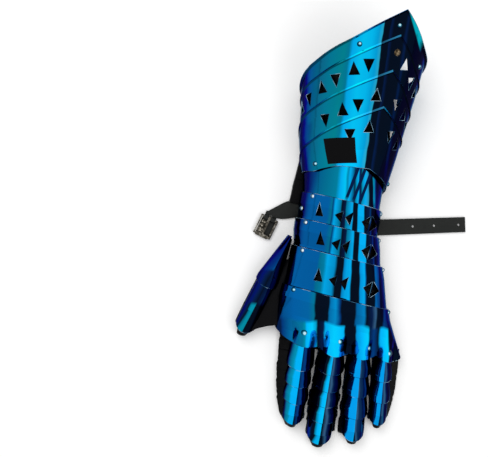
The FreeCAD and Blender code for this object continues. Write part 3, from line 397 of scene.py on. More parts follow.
lameSteels = {
    "wrist_lame_1": blueSteel("firstLameSteel", firstLameBands, 0.05, 30.0, lameFan, slashes=lameReflectionStreaks),
    "wrist_lame_2": blueSteel("secondLameSteel", midLameBands, 0.05, 30.0, lameFan, 0.015),
    "wrist_lame_3": blueSteel("thirdLameSteel", midLameBands, 0.05, 30.0, lameFan, -0.012),
    "metacarpal_plate": blueSteel("handBackSteel", backBands, 0.05, 30.0, lameFan),
    "knuckle_plate": blueSteel("knuckleSteel", knuckleBands, 0.05, 40.0, knuckleFan, shadeStrength=0.12,
                               slope=0.3, border=knuckleBorder),
    "cuff_plate": blueSteel("cuffBlueSteel", cuffBands, 0.055, 26.0, cuffFan, shadeStrength=0.5, slope=0.22,
                            border=cuffBorder, sides=cuffSideBands, ridgeHighlight=0.8, rim=cuffRimHighlight),
    "thumb_base_lame": blueSteel("thumbBaseSteel", thumbTopBands, 0.05, 25.0, border=thumbTopBorder),
    "thumb_tip_lame": blueSteel("thumbTipSteel", thumbBands, 0.05, 25.0, border=thumbBorder),
}
fingerSteels = {finger: blueSteel(finger + "Steel", bands, 0.05, 42.0, shadeStrength=0.2, slope=0.15)
                for finger, bands in fingerBands.items()}


# painted light and shade: rivet domes are painted dark on their sides and lighter towards the top, with a painted
# highlight at the very top
def shadedRivetFinish(name, dark, middle, light, glint):
    finish = Finish(name)
    up = splitNormal(finish)[2]
    speck = finish.noise(finish.place(), 700.0)
    colour = finish.ramp(up + (speck - 0.5) * 0.08, (
        (0.0, dark), (0.60, dark), (0.78, middle), (0.90, light), (0.955, glint)))
    return finish.close(Base_Color=colour, Metallic=1.0, Roughness=0.16 + speck * 0.08)


def dullBrass():
    finish = Finish("dullBrass")
    patch = finish.noise(finish.place(), 500.0, 3.0)
    colour = finish.ramp(patch, (
        (0.38, (0.035, 0.025, 0.014)), (0.52, (0.16, 0.115, 0.065)), (0.64, (0.42, 0.33, 0.21))))
    return finish.close(Base_Color=colour, Metallic=1.0, Roughness=0.34 + patch * 0.2,
                        Normal=finish.bumped(patch, 0.5, 0.0002))


def blackTag():
    finish = Finish("blackTag")
    grain = finish.noise(finish.place(), 1500.0, 3.0)
    colour = finish.mixed(grain, (0.0010, 0.0010, 0.0012, 1), (0.0045, 0.0045, 0.005, 1))
    return finish.close(Base_Color=colour, Roughness=0.6 + grain * 0.15, Specular_IOR_Level=0.05,
                        Normal=finish.bumped(grain, 0.2, 0.0001))


def leatherFinish(name, dark, light, roughness, grainScale, gloss):
    finish = Finish(name)
    point = finish.place()
    cell = finish.node("ShaderNodeTexVoronoi", {"Vector": point, "Scale": grainScale}, out="Distance",
                       feature="DISTANCE_TO_EDGE")
    patch = finish.noise(point, 45.0, 4.0)
    scuff = finish.noise(point, 320.0, 3.0)
    colour = finish.mixed(patch * 0.6 + scuff * 0.4, (*dark, 1), (*light, 1))
    height = cell * 1.2 + scuff * 0.4
    return finish.close(Base_Color=colour, Roughness=roughness + (patch - 0.5) * 0.18,
                        Specular_IOR_Level=gloss, Normal=finish.bumped(height, 0.45, 0.0004))


gloveLeather = leatherFinish("gloveLeather", (0.0008, 0.0008, 0.0011), (0.0036, 0.0036, 0.0044),
                             0.44, 900.0, 0.06)
strapLeather = leatherFinish("strapLeather", (0.0040, 0.0048, 0.0045), (0.0150, 0.0165, 0.0150),
                             0.42, 700.0, 0.20)
pipingLeather = leatherFinish("pipingLeather", (0.030, 0.031, 0.033), (0.110, 0.112, 0.115),
                              0.5, 900.0, 0.3)


def oldSilver():
    finish = Finish("oldSilver")
    point = finish.place()
    tarnish = finish.noise(point, 420.0, 4.0)
    worn = finish.noise(point, 120.0)
    colour = finish.ramp(tarnish * 0.6 + worn * 0.4, (
        (0.34, (0.012, 0.011, 0.009)), (0.50, (0.11, 0.10, 0.08)), (0.60, (0.34, 0.32, 0.28)),
        (0.70, (0.66, 0.64, 0.60))))
    return finish.close(Base_Color=colour, Metallic=1.0, Roughness=0.24 + tarnish * 0.22,
                        Normal=finish.bumped(tarnish, 0.3, 0.0002))


def polishedSilver():
    finish = Finish("brightSilver")
    worn = finish.noise(finish.place(), 300.0)
    colour = finish.mixed(worn, (0.45, 0.44, 0.40, 1), (0.85, 0.84, 0.80, 1))
    return finish.close(Base_Color=colour, Metallic=1.0, Roughness=0.2 + worn * 0.1)


def engravedFinish():
    finish = Finish("engravedSilver")
    point = finish.place()
    scroll = finish.node("ShaderNodeTexVoronoi", {"Vector": point, "Scale": 420.0}, out="Distance")
    tarnish = finish.noise(point, 260.0, 3.0)
    colour = finish.ramp(scroll * 0.7 + tarnish * 0.5, (
        (0.30, (0.62, 0.58, 0.50)), (0.48, (0.22, 0.20, 0.16)), (0.62, (0.03, 0.028, 0.022))))
    return finish.close(Base_Color=colour, Metallic=1.0, Roughness=0.3 + tarnish * 0.2,
                        Normal=finish.bumped(scroll, 0.6, 0.0003))


silver = oldSilver()
brightSilver = polishedSilver()
engravedSilver = engravedFinish()
finishBySlot = {
    "rivet_steel": shadedRivetFinish("brightRivets", (0.02, 0.08, 0.14), (0.10, 0.24, 0.34), (0.42, 0.56, 0.66),
                               (0.92, 0.95, 0.97)),
    "brass": dullBrass(),
    "tag": blackTag(),
    "buckle_metal": silver,
}
# teal rivets carry the same painted shade and painted highlight
tealRivets = shadedRivetFinish("tealRivets", (0.001, 0.02, 0.05), (0.004, 0.08, 0.14), (0.02, 0.26, 0.38),
                         (0.55, 0.82, 0.92))
slotOf = {row["node"]: row["material_slot"] for row in frame["record"]["subparts"]}
for nodeName, node in frame["nodes"].items():
    slotName = slotOf[nodeName]
    if slotName == "blue_steel":
        wear(node, lameSteels.get(nodeName) or fingerSteels[nodeName.split("_")[0]])
    elif nodeName in ("knuckle_rivets", "cuff_rivets"):
        wear(node, tealRivets)
    elif slotName in finishBySlot:
        wear(node, finishBySlot[slotName])
print("steel, rivets and buckle finished")


# Leather glove: rings cast onto the solids of the stalls, joined along each finger and the hand.

weldReach = 0.00001
gloveLook = {
    "columns": 44,
    "scanStep": 0.0035,
    "scanTrim": 0.0006,
    "ringStep": 0.0016,
    "heart": 0.33,
    "wallHeight": 0.020,
    "far": 0.2,
    "probe": 0.3,
    "missed": 0.004,
    "thickness": 0.0014,
    "creaseDepth": 0.0008,
    "sideCrease": 0.35,
    "sinkMost": 0.4,
    "noiseDepth": 0.0006,
    "noiseScale": 70.0,
    "foldHalf": 0.0040,
    "rootBack": 0.011,
    "thumbFrom": 0.0010,
    "handFrom": 0.2734,
    "tip": ((0.93, 0.0010), (0.80, 0.0018), (0.55, 0.0024), (0.25, 0.0027)),
}
# the leather that shows beside the plates of a finger
besideLook = {
    "reach": 0.0019,
    "most": 0.0055,
    "gap": 0.0004,
    "level": 0.0050,
    "tall": 0.0036,
    "plateLevel": 0.0112,
    "far": 0.06,
    "nextFar": 0.03,
}


def linked(name, data):
    obj = bpy.data.objects.new(name, data)
    bpy.context.scene.collection.objects.link(obj)
    return obj


def newMesh(name, points, faces, material):
    mesh = bpy.data.meshes.new(name)
    mesh.from_pydata(points, [], faces)
    mesh.update()
    obj = linked(name, mesh)
    wear(obj, material)
    return obj


def alone(obj):
    bpy.ops.object.select_all(action="DESELECT")
    obj.select_set(True)
    bpy.context.view_layer.objects.active = obj


def applied(obj, kind, **settings):
    modifier = obj.modifiers.new(kind.title(), kind)
    for key, value in settings.items():
        setattr(modifier, key, value)
    alone(obj)
    bpy.ops.object.modifier_apply(modifier=modifier.name)


def thickened(obj, thickness, offset=0.0):
    applied(obj, "SOLIDIFY", thickness=thickness, offset=offset)


def softened(obj, width):
    applied(obj, "BEVEL", width=width, segments=2, limit_method="ANGLE", angle_limit=math.radians(50))


def tidied(obj):
    alone(obj)
    bpy.ops.object.mode_set(mode="EDIT")
    bpy.ops.mesh.select_all(action="SELECT")
    bpy.ops.mesh.remove_doubles(threshold=weldReach)
    bpy.ops.mesh.normals_make_consistent(inside=False)
    bpy.ops.object.mode_set(mode="OBJECT")
    bpy.ops.object.shade_smooth()


def nodeTree(*nodeNames):
    points, faces = [], []
    for nodeName in nodeNames:
        mesh = frame["nodes"][nodeName].data
        first = len(points)
        points.extend(v.co.copy() for v in mesh.vertices)
        faces.extend([first + n for n in p.vertices] for p in mesh.polygons)
    return BVHTree.FromPolygons(points, faces)


def castRing(tree, centre, across, wide, tall, wallSide=None):
    up = Vector((0, 0, 1))
    far = gloveLook["far"]
    ring = []
    for n in range(gloveLook["columns"]):
        turn = 2 * math.pi * n / gloveLook["columns"]
        way = (across * (math.cos(turn) * wide) + up * (math.sin(turn) * tall)).normalized()
        hit = tree.ray_cast(centre + way * far, -way, far)[0]
        ring.append(hit if hit else centre + way * gloveLook["missed"])
    if wallSide is not None:
        for point in ring:
            point.x = max(point.x, wallSide)
    return ring


def leatherDepth(point):
    wave = noise.noise(point * gloveLook["noiseScale"]) * 0.5 + 0.5
    return wave * gloveLook["noiseDepth"]


def sink(ring, centre, along, crease):
    moved = []
    for point in ring:
        inward = centre - point
        inward -= along * inward.dot(along)
        reach = inward.length
        depth = min(leatherDepth(point) + crease, reach * gloveLook["sinkMost"])
        moved.append(point + inward / reach * depth)
    return moved


def showBeside(ring, centre, across, plates, nextPlates):
    level = Vector((centre.x, centre.y, besideLook["plateLevel"]))
    sides = [(p - centre).dot(across) for p in ring]
    for way in (1, -1):
        outward = across * way
        hit = plates.ray_cast(level + outward * besideLook["far"], -outward, besideLook["far"])[0]
        if hit is None:
            continue
        reach = besideLook["reach"]
        nextHit = nextPlates.ray_cast(hit + outward * besideLook["gap"], outward, besideLook["nextFar"])[0]
        if nextHit is not None:
            room = (nextHit - hit).dot(outward) - besideLook["gap"]
            reach = min(room / 2, besideLook["most"])
        widest = max(side * way for side in sides)
        wanted = (hit - level).dot(outward) + reach
        if wanted <= widest:
            continue
        for point, side in zip(ring, sides):
            if side * way > 0:
                height = (point.z - besideLook["level"]) / besideLook["tall"]
                point += across * (side * (wanted / widest - 1) * math.exp(-height * height))


def creaseAt(reach, folds):
    crease = 0.0
    for fold in folds:
        gap = (reach - fold) / gloveLook["foldHalf"]
        crease += gloveLook["creaseDepth"] * math.exp(-gap * gap * 4)
        crease += gloveLook["sideCrease"] * gloveLook["creaseDepth"] * math.exp(-(abs(gap) - 1.5) ** 2 * 6)
    return crease


class Tube:
    def __init__(self, start, along, wristSide=False):
        self.start = start
        self.along = along
        self.across = Vector((-along.y, along.x, 0)) if along.y < 0 else Vector((along.y, -along.x, 0))
        self.stations = []
        self.wristSide = wristSide

    def scan(self, nodeName):
        tree = nodeTree(nodeName)
        mesh = frame["nodes"][nodeName].data
        reaches = [(v.co - self.start).dot(self.along) for v in mesh.vertices]
        first = min(reaches) + gloveLook["scanTrim"]
        last = max(reaches) - gloveLook["scanTrim"]
        high = max(v.co.z for v in mesh.vertices)
        low = min(v.co.z for v in mesh.vertices)
        count = max(2, round((last - first) / gloveLook["scanStep"]))
        for n in range(count + 1):
            reach = first + (last - first) * n / count
            base = self.place(reach)
            wall = None
            middle = 0.0
            if self.wristSide:
                outside = Vector((gloveLook["probe"], 0, 0))
                probe = Vector((0, base.y, low + gloveLook["wallHeight"]))
                left = tree.ray_cast(probe - outside, Vector((1, 0, 0)))[0]
                right = tree.ray_cast(probe + outside, Vector((-1, 0, 0)))[0]
                if left is None or right is None:
                    continue
                wall = left.x
                middle = (left.x + right.x) / 2 - base.x
                spread = (right.x - left.x) / 2
            else:
                sides = [(v.co - base).dot(self.across) for v in mesh.vertices]
                spread = min(abs(min(sides)), abs(max(sides)))
            heart = low + (high - low) * gloveLook["heart"]
            centre = base + self.across * middle + Vector((0, 0, heart - base.z))
            ring = castRing(tree, centre, self.across, spread, (high - low) / 2, wall)
            self.stations.append((reach, centre, ring))
        return first, last

    def place(self, reach):
        return self.start + self.along * reach

    def ringAt(self, reach):
        stations = self.stations
        for a, b in zip(stations, stations[1:]):
            if a[0] < reach <= b[0]:
                share = (reach - a[0]) / (b[0] - a[0])
                return a[1].lerp(b[1], share), [p.lerp(q, share) for p, q in zip(a[2], b[2])]
        ends = stations[0] if reach <= stations[0][0] else stations[-1]
        shift = self.along * (reach - ends[0])
        return ends[1] + shift, [p + shift for p in ends[2]]

    def piece(self, name, begin, end, folds, tipped=False, plates=None):
        count = max(4, round((end - begin) / gloveLook["ringStep"]))
        rings = []
        for n in range(count + 1):
            reach = begin + (end - begin) * n / count
            centre, ring = self.ringAt(reach)
            sunk = sink(ring, centre, self.along, creaseAt(reach, folds))
            if plates:
                showBeside(sunk, centre, self.across, *plates)
            rings.append((centre, sunk))
        columns = gloveLook["columns"]
        points, faces = [], []
        if tipped:
            centre, ring = rings[-1]
            for share, push in gloveLook["tip"]:
                rings.append((centre, [centre.lerp(p, share) + self.along * push for p in ring]))
        for centre, ring in rings:
            points.extend(ring)
        for r in range(len(rings) - 1):
            for c in range(columns):
                d = (c + 1) % columns
                faces.append((r * columns + c, r * columns + d, (r + 1) * columns + d, (r + 1) * columns + c))
        if tipped:
            centre, ring = rings[-1]
            points.append(sum(ring, Vector()) / columns)
            last = (len(rings) - 1) * columns
            for c in range(columns):
                faces.append((last + c, last + (c + 1) % columns, len(points) - 1))
        obj = newMesh(name, points, faces, gloveLeather)
        tidied(obj)
        thickened(obj, gloveLook["thickness"], -1.0)
        return obj


joints = {j["child"]: j for j in frame["joints"]}


def jointPlace(child):
    return Vector(joints[child]["pos_m"])


def bendAcross(obj, tube, after):
    place = jointPlace(after)
    reach = (place - tube.start).dot(tube.along)
    start = tube.place(reach - gloveLook["foldHalf"])
    end = tube.place(reach + gloveLook["foldHalf"])
    start.z = end.z = place.z
    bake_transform(obj)


def gloveFinger(finger, count):
    first = jointPlace(f"{finger}_1")
    last = jointPlace(f"{finger}_{count}")
    along = last - first
    along.z = 0
    tube = Tube(Vector((first.x, first.y, 0)), along.normalized())
    spans = [tube.scan(f"{finger}_stall_{k}") for k in range(1, count + 1)]
    middles = [(a + b) / 2 for a, b in spans]
    rootReach = spans[0][0] - gloveLook["rootBack"]
    lames = [f"{finger}_lame_{k}" for k in range(1, count + 1)]
    plates = nodeTree(*lames), nodeTree(*(name for name in fingerLames if name not in lames))
    for k in range(count):
        body = f"{finger}_{k + 1}"
        fold = (jointPlace(body) - tube.start).dot(tube.along)
        begin = rootReach if k == 0 else middles[k - 1]
        end = spans[k][1] if k == count - 1 else middles[k]
        obj = tube.piece(f"glove_{finger}_{k + 1}", begin, end, [fold], k == count - 1, plates)
        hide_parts(f"{finger}_stall_{k + 1}")
        bendAcross(obj, tube, body)
    return tube


rootWebLook = {
    "from": -0.012,
    "to": 0.010,
    "sag": 0.004,
    "level": 0.0046,
    "waveScale": 90,
    "waves": 0.001,
    "thickness": 0.0016,
    "rows": 16,
    "columns": 12,
}


def sheetFaces(rows, columns):
    wide = columns + 1
    return [(r * wide + c, r * wide + c + 1, (r + 1) * wide + c + 1, (r + 1) * wide + c)
            for r in range(rows) for c in range(columns)]


def rootWeb(one, other):
    rows, columns = rootWebLook["rows"], rootWebLook["columns"]
    points = []
    for r in range(rows + 1):
        share = r / rows
        for c in range(columns + 1):
            over = c / columns
            bow = math.sin(over * math.pi)
            reach = rootWebLook["from"] + (rootWebLook["to"] - rootWebLook["from"]) * share
            reach -= rootWebLook["sag"] * bow * share
            point = fingerTubes[one].place(reach).lerp(fingerTubes[other].place(reach), over)
            wave = noise.noise(point * rootWebLook["waveScale"]) * rootWebLook["waves"]
            point.z = rootWebLook["level"] + wave
            points.append(point)
    web = newMesh(f"gloveWeb_{one}", points, sheetFaces(rows, columns), gloveLeather)
    tidied(web)
    thickened(web, rootWebLook["thickness"])
    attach(web, "knuckles")


fingerCounts = {"index": 4, "middle": 5, "ring": 4, "little": 3}
fingerLames = [name for name in frame["nodes"] if name.split("_")[0] in fingerBands and "_lame_" in name]
fingerTubes = {finger: gloveFinger(finger, count) for finger, count in fingerCounts.items()}
for one, other in (("index", "middle"), ("middle", "ring"), ("ring", "little")):
    rootWeb(one, other)
print("finger leather made")


def gloveThumb():
    spread = jointPlace("thumb_base")
    bend = jointPlace("thumb_tip")
    along = Vector((bend.x - spread.x, bend.y - spread.y, 0)).normalized()
    tube = Tube(Vector((bend.x, bend.y, 0)), along)
    base = tube.scan("thumb_base_stall")
    tip = tube.scan("thumb_tip_stall")
    middle = (base[0] + base[1]) / 2
    plates = nodeTree("thumb_tip_lame"), nodeTree("index_lame_1")
    lower = tube.piece("glove_thumb_base", base[0] + gloveLook["thumbFrom"], middle, [])
    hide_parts("thumb_base_stall")
    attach(lower, "thumb_base")
    upper = tube.piece("glove_thumb_tip", middle, tip[1], [0.0], True, plates)
    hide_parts("thumb_tip_stall")
    bendAcross(upper, tube, "thumb_tip")
    return tube


thumbTube = gloveThumb()
print("thumb leather made")


# the leather at the cuff's mouth: it slants with the mouth, and reaches wider on the thumb side
mouthLook = {
    "from": 0.193,
    "rise": ((-0.078, 0.203), (-0.060, 0.220), (-0.038, 0.238), (-0.010, 0.2540), (0.006, 0.2580),
             (0.030, 0.2420), (0.050, 0.236)),
    "below": 0.004,
    "middle": -0.014,
    "half": 0.036,
    "flareAcross": 0.18,
    "flareLow": 0.02,
    "flareTall": 0.08,
    "flareUp": 0.34,
    "leftReach": ((0.112, 0.0), (0.126, 0.007), (0.140, 0.013), (0.160, 0.017), (0.190, 0.021),
                  (0.230, 0.022)),
    "insideFrom": 0.115,
    "insideGap": 0.0022,
    "heart": (-0.010, 0.030),
    "leftFrom": 0.000,
    "leftFull": -0.030,
}


def between(table, at):
    for (x0, y0), (x1, y1) in zip(table, table[1:]):
        if at <= x1:
            return y0 + (y1 - y0) * max(0.0, (at - x0) / (x1 - x0))
    return table[-1][1]


def reachLeft(obj):
    for v in obj.data.vertices:
        share = (v.co.x - mouthLook["leftFrom"]) / (mouthLook["leftFull"] - mouthLook["leftFrom"])
        share = min(1.0, max(0.0, share))
        v.co.x -= between(mouthLook["leftReach"], v.co.y - palmAlong) * share * share * (3 - 2 * share)


def keepInside(obj, plateName):
    plate = nodeTree(plateName)
    for v in obj.data.vertices:
        if v.co.y < palmAlong + mouthLook["insideFrom"]:
            continue
        heart = Vector((mouthLook["heart"][0], v.co.y, mouthLook["heart"][1]))
        way = v.co - heart
        far = way.length
        way.normalize()
        hit = plate.ray_cast(heart, way, gloveLook["probe"])[0]
        if hit is None:
            continue
        room = (hit - heart).length - mouthLook["insideGap"]
        if far > room:
            v.co = heart + way * room


def slantMouth(obj):
    top = max(v.co.y for v in obj.data.vertices)
    begin = palmAlong + mouthLook["from"]
    for v in obj.data.vertices:
        if v.co.y <= begin:
            continue
        share = (v.co.y - begin) / (top - begin)
        target = palmAlong + between(mouthLook["rise"], v.co.x) - mouthLook["below"]
        reach = (target - begin) * share + begin
        grown = reach - v.co.y
        if grown > 0:
            aside = (v.co.x - mouthLook["middle"]) / mouthLook["half"]
            height = (v.co.z - mouthLook["flareLow"]) / mouthLook["flareTall"]
            v.co.x += aside * mouthLook["flareAcross"] * grown
            v.co.z += max(0.0, height) * mouthLook["flareUp"] * grown
        v.co.y = reach


def gloveHand():
    tube = Tube(Vector((0, palmAlong + gloveLook["handFrom"], 0)), Vector((0, -1, 0)), wristSide=True)
    names = ("glove_cuff", "wrist_lining_1", "wrist_lining_2", "wrist_lining_3", "glove_palm",
             "glove_knuckles")
    bodies = ("cuff", "lame_1", "lame_2", "lame_3", "hand", "knuckles")
    spans = [tube.scan(name) for name in names]
    middles = [(a + b) / 2 for a, b in spans]
    for k in range(1, len(names)):
        fold = (jointPlace(bodies[k]) - tube.start).dot(tube.along)
        begin = spans[0][0] if k == 1 else middles[k - 1]
        end = spans[k][1] if k == len(names) - 1 else middles[k]
        obj = tube.piece(f"glove_{bodies[k]}", begin, end, [fold], k == len(names) - 1)
        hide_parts(names[k])
        if k == 1:
            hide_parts(names[0])
            reachLeft(obj)
            slantMouth(obj)
            keepInside(obj, "cuff_plate")
        bendAcross(obj, tube, bodies[k])
    return tube


handTube = gloveHand()
print("hand leather made")

# the flap of leather beside the wrist, with its piping
flapLook = {
    "left": -0.0604,
    "tuck": 0.0060,
    "thickness": 0.0017,
    "step": 0.0014,
    "columns": 8,
    "waves": 0.0006,
    "waveScale": 60,
    "lift": 0.0006,
    "crumple": 0.0004,
    "crumpleScale": 80,
    "bevel": 0.0004,
    "piping": 0.00055,
    "pipingShift": (0.0002, 0, 0.0005),
    "foldHalf": 0.003,
    "upperPast": 0.0139,
    "lowerPast": 0.0068,
    "height": 0.001,
}


def flapRow(y, wall, height):
    wave = noise.noise(Vector((y * flapLook["waveScale"], 3.1, 0))) * flapLook["waves"]
    row = []
    for n in range(flapLook["columns"] + 1):
        share = n / flapLook["columns"]
        x = wall + (flapLook["left"] + wave - wall) * share
        spot = Vector((x * flapLook["crumpleScale"], y * flapLook["crumpleScale"], 1.0))
        lift = math.sin(share * math.pi) * flapLook["lift"] + noise.noise(spot) * flapLook["crumple"]
        row.append(Vector((x, y, height + lift)))
    return row


def gloveFlap(name, begin, end, height):
    count = max(4, round((end - begin) / flapLook["step"]))
    rows = []
    for n in range(count + 1):
        y = begin + (end - begin) * n / count
        rows.append(flapRow(y, handLeft(y) + flapLook["tuck"], height))
    points = [p for row in rows for p in row]
    flap = newMesh(name, points, sheetFaces(count, flapLook["columns"]), gloveLeather)
    tidied(flap)
    thickened(flap, flapLook["thickness"])
    softened(flap, flapLook["bevel"])
    edge = [row[-1] + Vector(flapLook["pipingShift"]) for row in rows]
    piping = roundLine(name + "_piping", edge, flapLook["piping"], pipingLeather)
    for obj in (flap, piping):
        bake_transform(obj)


def handLeft(y):
    centre, ring = handTube.ringAt(handTube.start.y - y)
    return min(p.x for p in ring)


def roundLine(name, places, radius, material):
    curve = bpy.data.curves.new(name, "CURVE")
    curve.dimensions = "3D"
    curve.bevel_depth = radius
    curve.bevel_resolution = 2
    curve.use_fill_caps = True
    line = curve.splines.new("POLY")
    line.points.add(len(places) - 1)
    for point, place in zip(line.points, places):
        point.co = (*place, 1.0)
    alone(linked(name, curve))
    bpy.ops.object.convert(target="MESH")
    obj = bpy.context.active_object
    bpy.ops.object.shade_smooth()
    wear(obj, material)
    return obj


lameLow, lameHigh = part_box("wrist_lining_1")
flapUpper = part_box("glove_cuff")[0].y + flapLook["upperPast"]
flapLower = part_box("wrist_lining_2")[1].y - flapLook["lowerPast"]
flapMiddle = (lameLow.y + lameHigh.y) / 2
flapHeight = lameLow.z + flapLook["height"]
gloveFlap("gloveFlapUpper", flapMiddle, flapUpper, flapHeight)
gloveFlap("gloveFlapLower", flapLower, flapMiddle, flapHeight)
print("wrist flap made")


# Straps: copies of the solids with softened corners.
strapLook = {
    "bevel": 0.0004,
    "flatAngle": 4,
    "smoothAngle": 40,
}


def leatherCopy(nodeName, pieceName, body):
    obj = linked(pieceName, frame["nodes"][nodeName].data.copy())
    wear(obj, strapLeather)
    alone(obj)
    bpy.ops.object.mode_set(mode="EDIT")
    bpy.ops.mesh.select_all(action="SELECT")
    bpy.ops.mesh.remove_doubles(threshold=weldReach)
    bpy.ops.mesh.dissolve_limited(angle_limit=math.radians(strapLook["flatAngle"]))
    bpy.ops.object.mode_set(mode="OBJECT")
    softened(obj, strapLook["bevel"])
    bpy.ops.object.shade_smooth_by_angle(angle=math.radians(strapLook["smoothAngle"]))
    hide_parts(nodeName)
    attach(obj, body)


leatherCopy("strap_tail", "wristStrapTail", "lame_2")
leatherCopy("buckle_strap", "buckleStrapLeather", "lame_2")
print("straps made")


# the buckle's ornament; sides are told across the bar, reaches from the bar to the roller
buckleLook = {
    "flapHalf": 0.0086,
    "flapFrom": -0.0015,
    "flapLevel": 0.0010,
    "flapThick": 0.0014,
    "flapBevel": 0.0003,
    "lineSides": (0.0081, 0.0100),
    "lineLevel": 0.0046,
    "lineRadius": 0.00045,
    "linePoints": 6,
    "beadRadius": 0.00075,
    "beadSide": -0.0090,
    "beadLevel": 0.0047,
    "beadCount": 9,
    "plate": (0.0014, 0.0072, 0.0035, 0.0175),
    "plateLevel": 0.0032,
    "plateThick": 0.0008,
    "plateBevel": 0.0002,
}
barPlace = jointPlace("buckle_frame")
barWay = Vector(joints["buckle_frame"]["axis"]).normalized()
frameWay = jointPlace("buckle_roller") - barPlace
frameLong = frameWay.length
frameWay.normalize()


def buckleSpot(aside, out, level):
    spot = barPlace + barWay * aside + frameWay * out
    spot.z = level
    return spot


def bucklePlate(name, sides, reaches, level, thickness, bevel, material):
    (near, far), (begin, end) = sides, reaches
    corners = [buckleSpot(*spot, level) for spot in ((near, begin), (far, begin), (far, end), (near, end))]
    plate = newMesh(name, corners, [(0, 1, 2, 3)], material)
    thickened(plate, thickness)
    softened(plate, bevel)
    return plate


def buckleBeads():
    count = buckleLook["beadCount"]
    beads = []
    for n in range(count):
        spot = buckleSpot(buckleLook["beadSide"], frameLong * (n + 0.5) / count, buckleLook["beadLevel"])
        bpy.ops.mesh.primitive_uv_sphere_add(segments=12, ring_count=8, radius=buckleLook["beadRadius"])
        bead = bpy.context.active_object
        for v in bead.data.vertices:
            v.co += spot
        beads.append(bead)
    for bead in beads:
        bead.select_set(True)
    bpy.ops.object.join()
    bpy.ops.object.shade_smooth()
    joined = bpy.context.active_object
    joined.name = "buckleBeads"
    wear(joined, silver)
    return joined


def buckleDetail():
    half = buckleLook["flapHalf"]
    flap = bucklePlate("buckleLeatherFlap", (-half, half), (buckleLook["flapFrom"], frameLong),
                       buckleLook["flapLevel"], buckleLook["flapThick"], buckleLook["flapBevel"],
                       strapLeather)
    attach(flap, "lame_2")
    parts = buckleLook["linePoints"]
    for number, aside in enumerate(buckleLook["lineSides"]):
        ends = [buckleSpot(aside, frameLong * n / parts, buckleLook["lineLevel"]) for n in range(parts + 1)]
        line = roundLine(f"buckleLine_{number + 1}", ends, buckleLook["lineRadius"], brightSilver)
        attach(line, "buckle_frame")
    sides, reaches = buckleLook["plate"][:2], buckleLook["plate"][2:]
    plate = bucklePlate("buckleOrnament", sides, reaches, buckleLook["plateLevel"], buckleLook["plateThick"],
                        buckleLook["plateBevel"], engravedSilver)
    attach(plate, "buckle_frame")
    bpy.ops.object.select_all(action="DESELECT")
    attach(buckleBeads(), "buckle_frame")


buckleDetail()
print("buckle detail made")


# The leather web between thumb and hand.

webLook = {
    "handFrom": 0.012,
    "handTo": -0.0630,
    "thumbFrom": 0.008,
    "thumbTo": -0.0800,
    "thumbSide": 0.0060,
    "tuck": 0.0050,
    "level": 0.0150,
    "rise": 0.0040,
    "sag": 0.0035,
    "waveScale": 90,
    "waves": 0.0008,
    "thickness": 0.0016,
    "blend": 0.014,
    "rows": 40,
    "columns": 12,
}


def thumbWeb():
    inward = thumbTube.across if thumbTube.across.x > 0 else -thumbTube.across
    rows, columns, level = webLook["rows"], webLook["columns"], webLook["level"]
    points = []
    for r in range(rows + 1):
        share = r / rows
        handY = palmAlong + webLook["handFrom"] + (webLook["handTo"] - webLook["handFrom"]) * share
        handEnd = Vector((handLeft(handY) + webLook["tuck"], handY, level))
        thumbY = palmAlong + webLook["thumbFrom"] + (webLook["thumbTo"] - webLook["thumbFrom"]) * share
        thumbEnd = thumbTube.place((thumbY - thumbTube.start.y) / thumbTube.along.y)
        thumbEnd += inward * webLook["thumbSide"]
        thumbEnd.z = level
        for c in range(columns + 1):
            over = c / columns
            point = handEnd.lerp(thumbEnd, over)
            bow = math.sin(over * math.pi)
            point.z += bow * webLook["rise"]
            point.y += bow * webLook["sag"] * share * share
            point.z += noise.noise(point * webLook["waveScale"]) * webLook["waves"]
            points.append(point)
    web = newMesh("gloveThumbWeb", points, sheetFaces(rows, columns), gloveLeather)
    tidied(web)
    thickened(web, webLook["thickness"])
    middle = palmAlong + (webLook["handFrom"] + webLook["handTo"]) / 2
    start = handLeft(middle)
    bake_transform(web)


thumbWeb()
print("thumb web made")


# Thin bright lines along the cut edges of the plates: painted highlights that the edges would catch, partly the
# bare steel of the cut.

edgeLook = {
    "radius": 0.00020,
    "angle": 55.0,
    "skinOut": 0.55,
    "wallOut": 0.50,
    "lowest": 0.0120,
}


def edgeHighlightFinish():
    finish = Finish("edgeSteel")
    # painted glints: a noise ramp paints dark and light patches along the lines
    patch = finish.noise(finish.place(), 75.0, 1.0)
    colour = finish.ramp(patch, (
        (0.40, navy), (0.47, (0.02, 0.10, 0.22)), (0.54, (0.10, 0.30, 0.48)), (0.62, (0.45, 0.68, 0.82))))
    return finish.close(Base_Color=colour, Metallic=1.0, Roughness=0.2 + patch * 0.1)


edgeSteel = edgeHighlightFinish()


def isRim(edge, middle):
    if len(edge.link_faces) != 2 or edge.calc_face_angle(0.0) < math.radians(edgeLook["angle"]):
        return False
    spot = (edge.verts[0].co + edge.verts[1].co) / 2
    out = Vector((spot.x, 0, spot.z)) - middle
    out.normalize()
    wall, skin = sorted(face.normal.dot(out) for face in edge.link_faces)
    return spot.z >= edgeLook["lowest"] and skin >= edgeLook["skinOut"] and wall <= edgeLook["wallOut"]


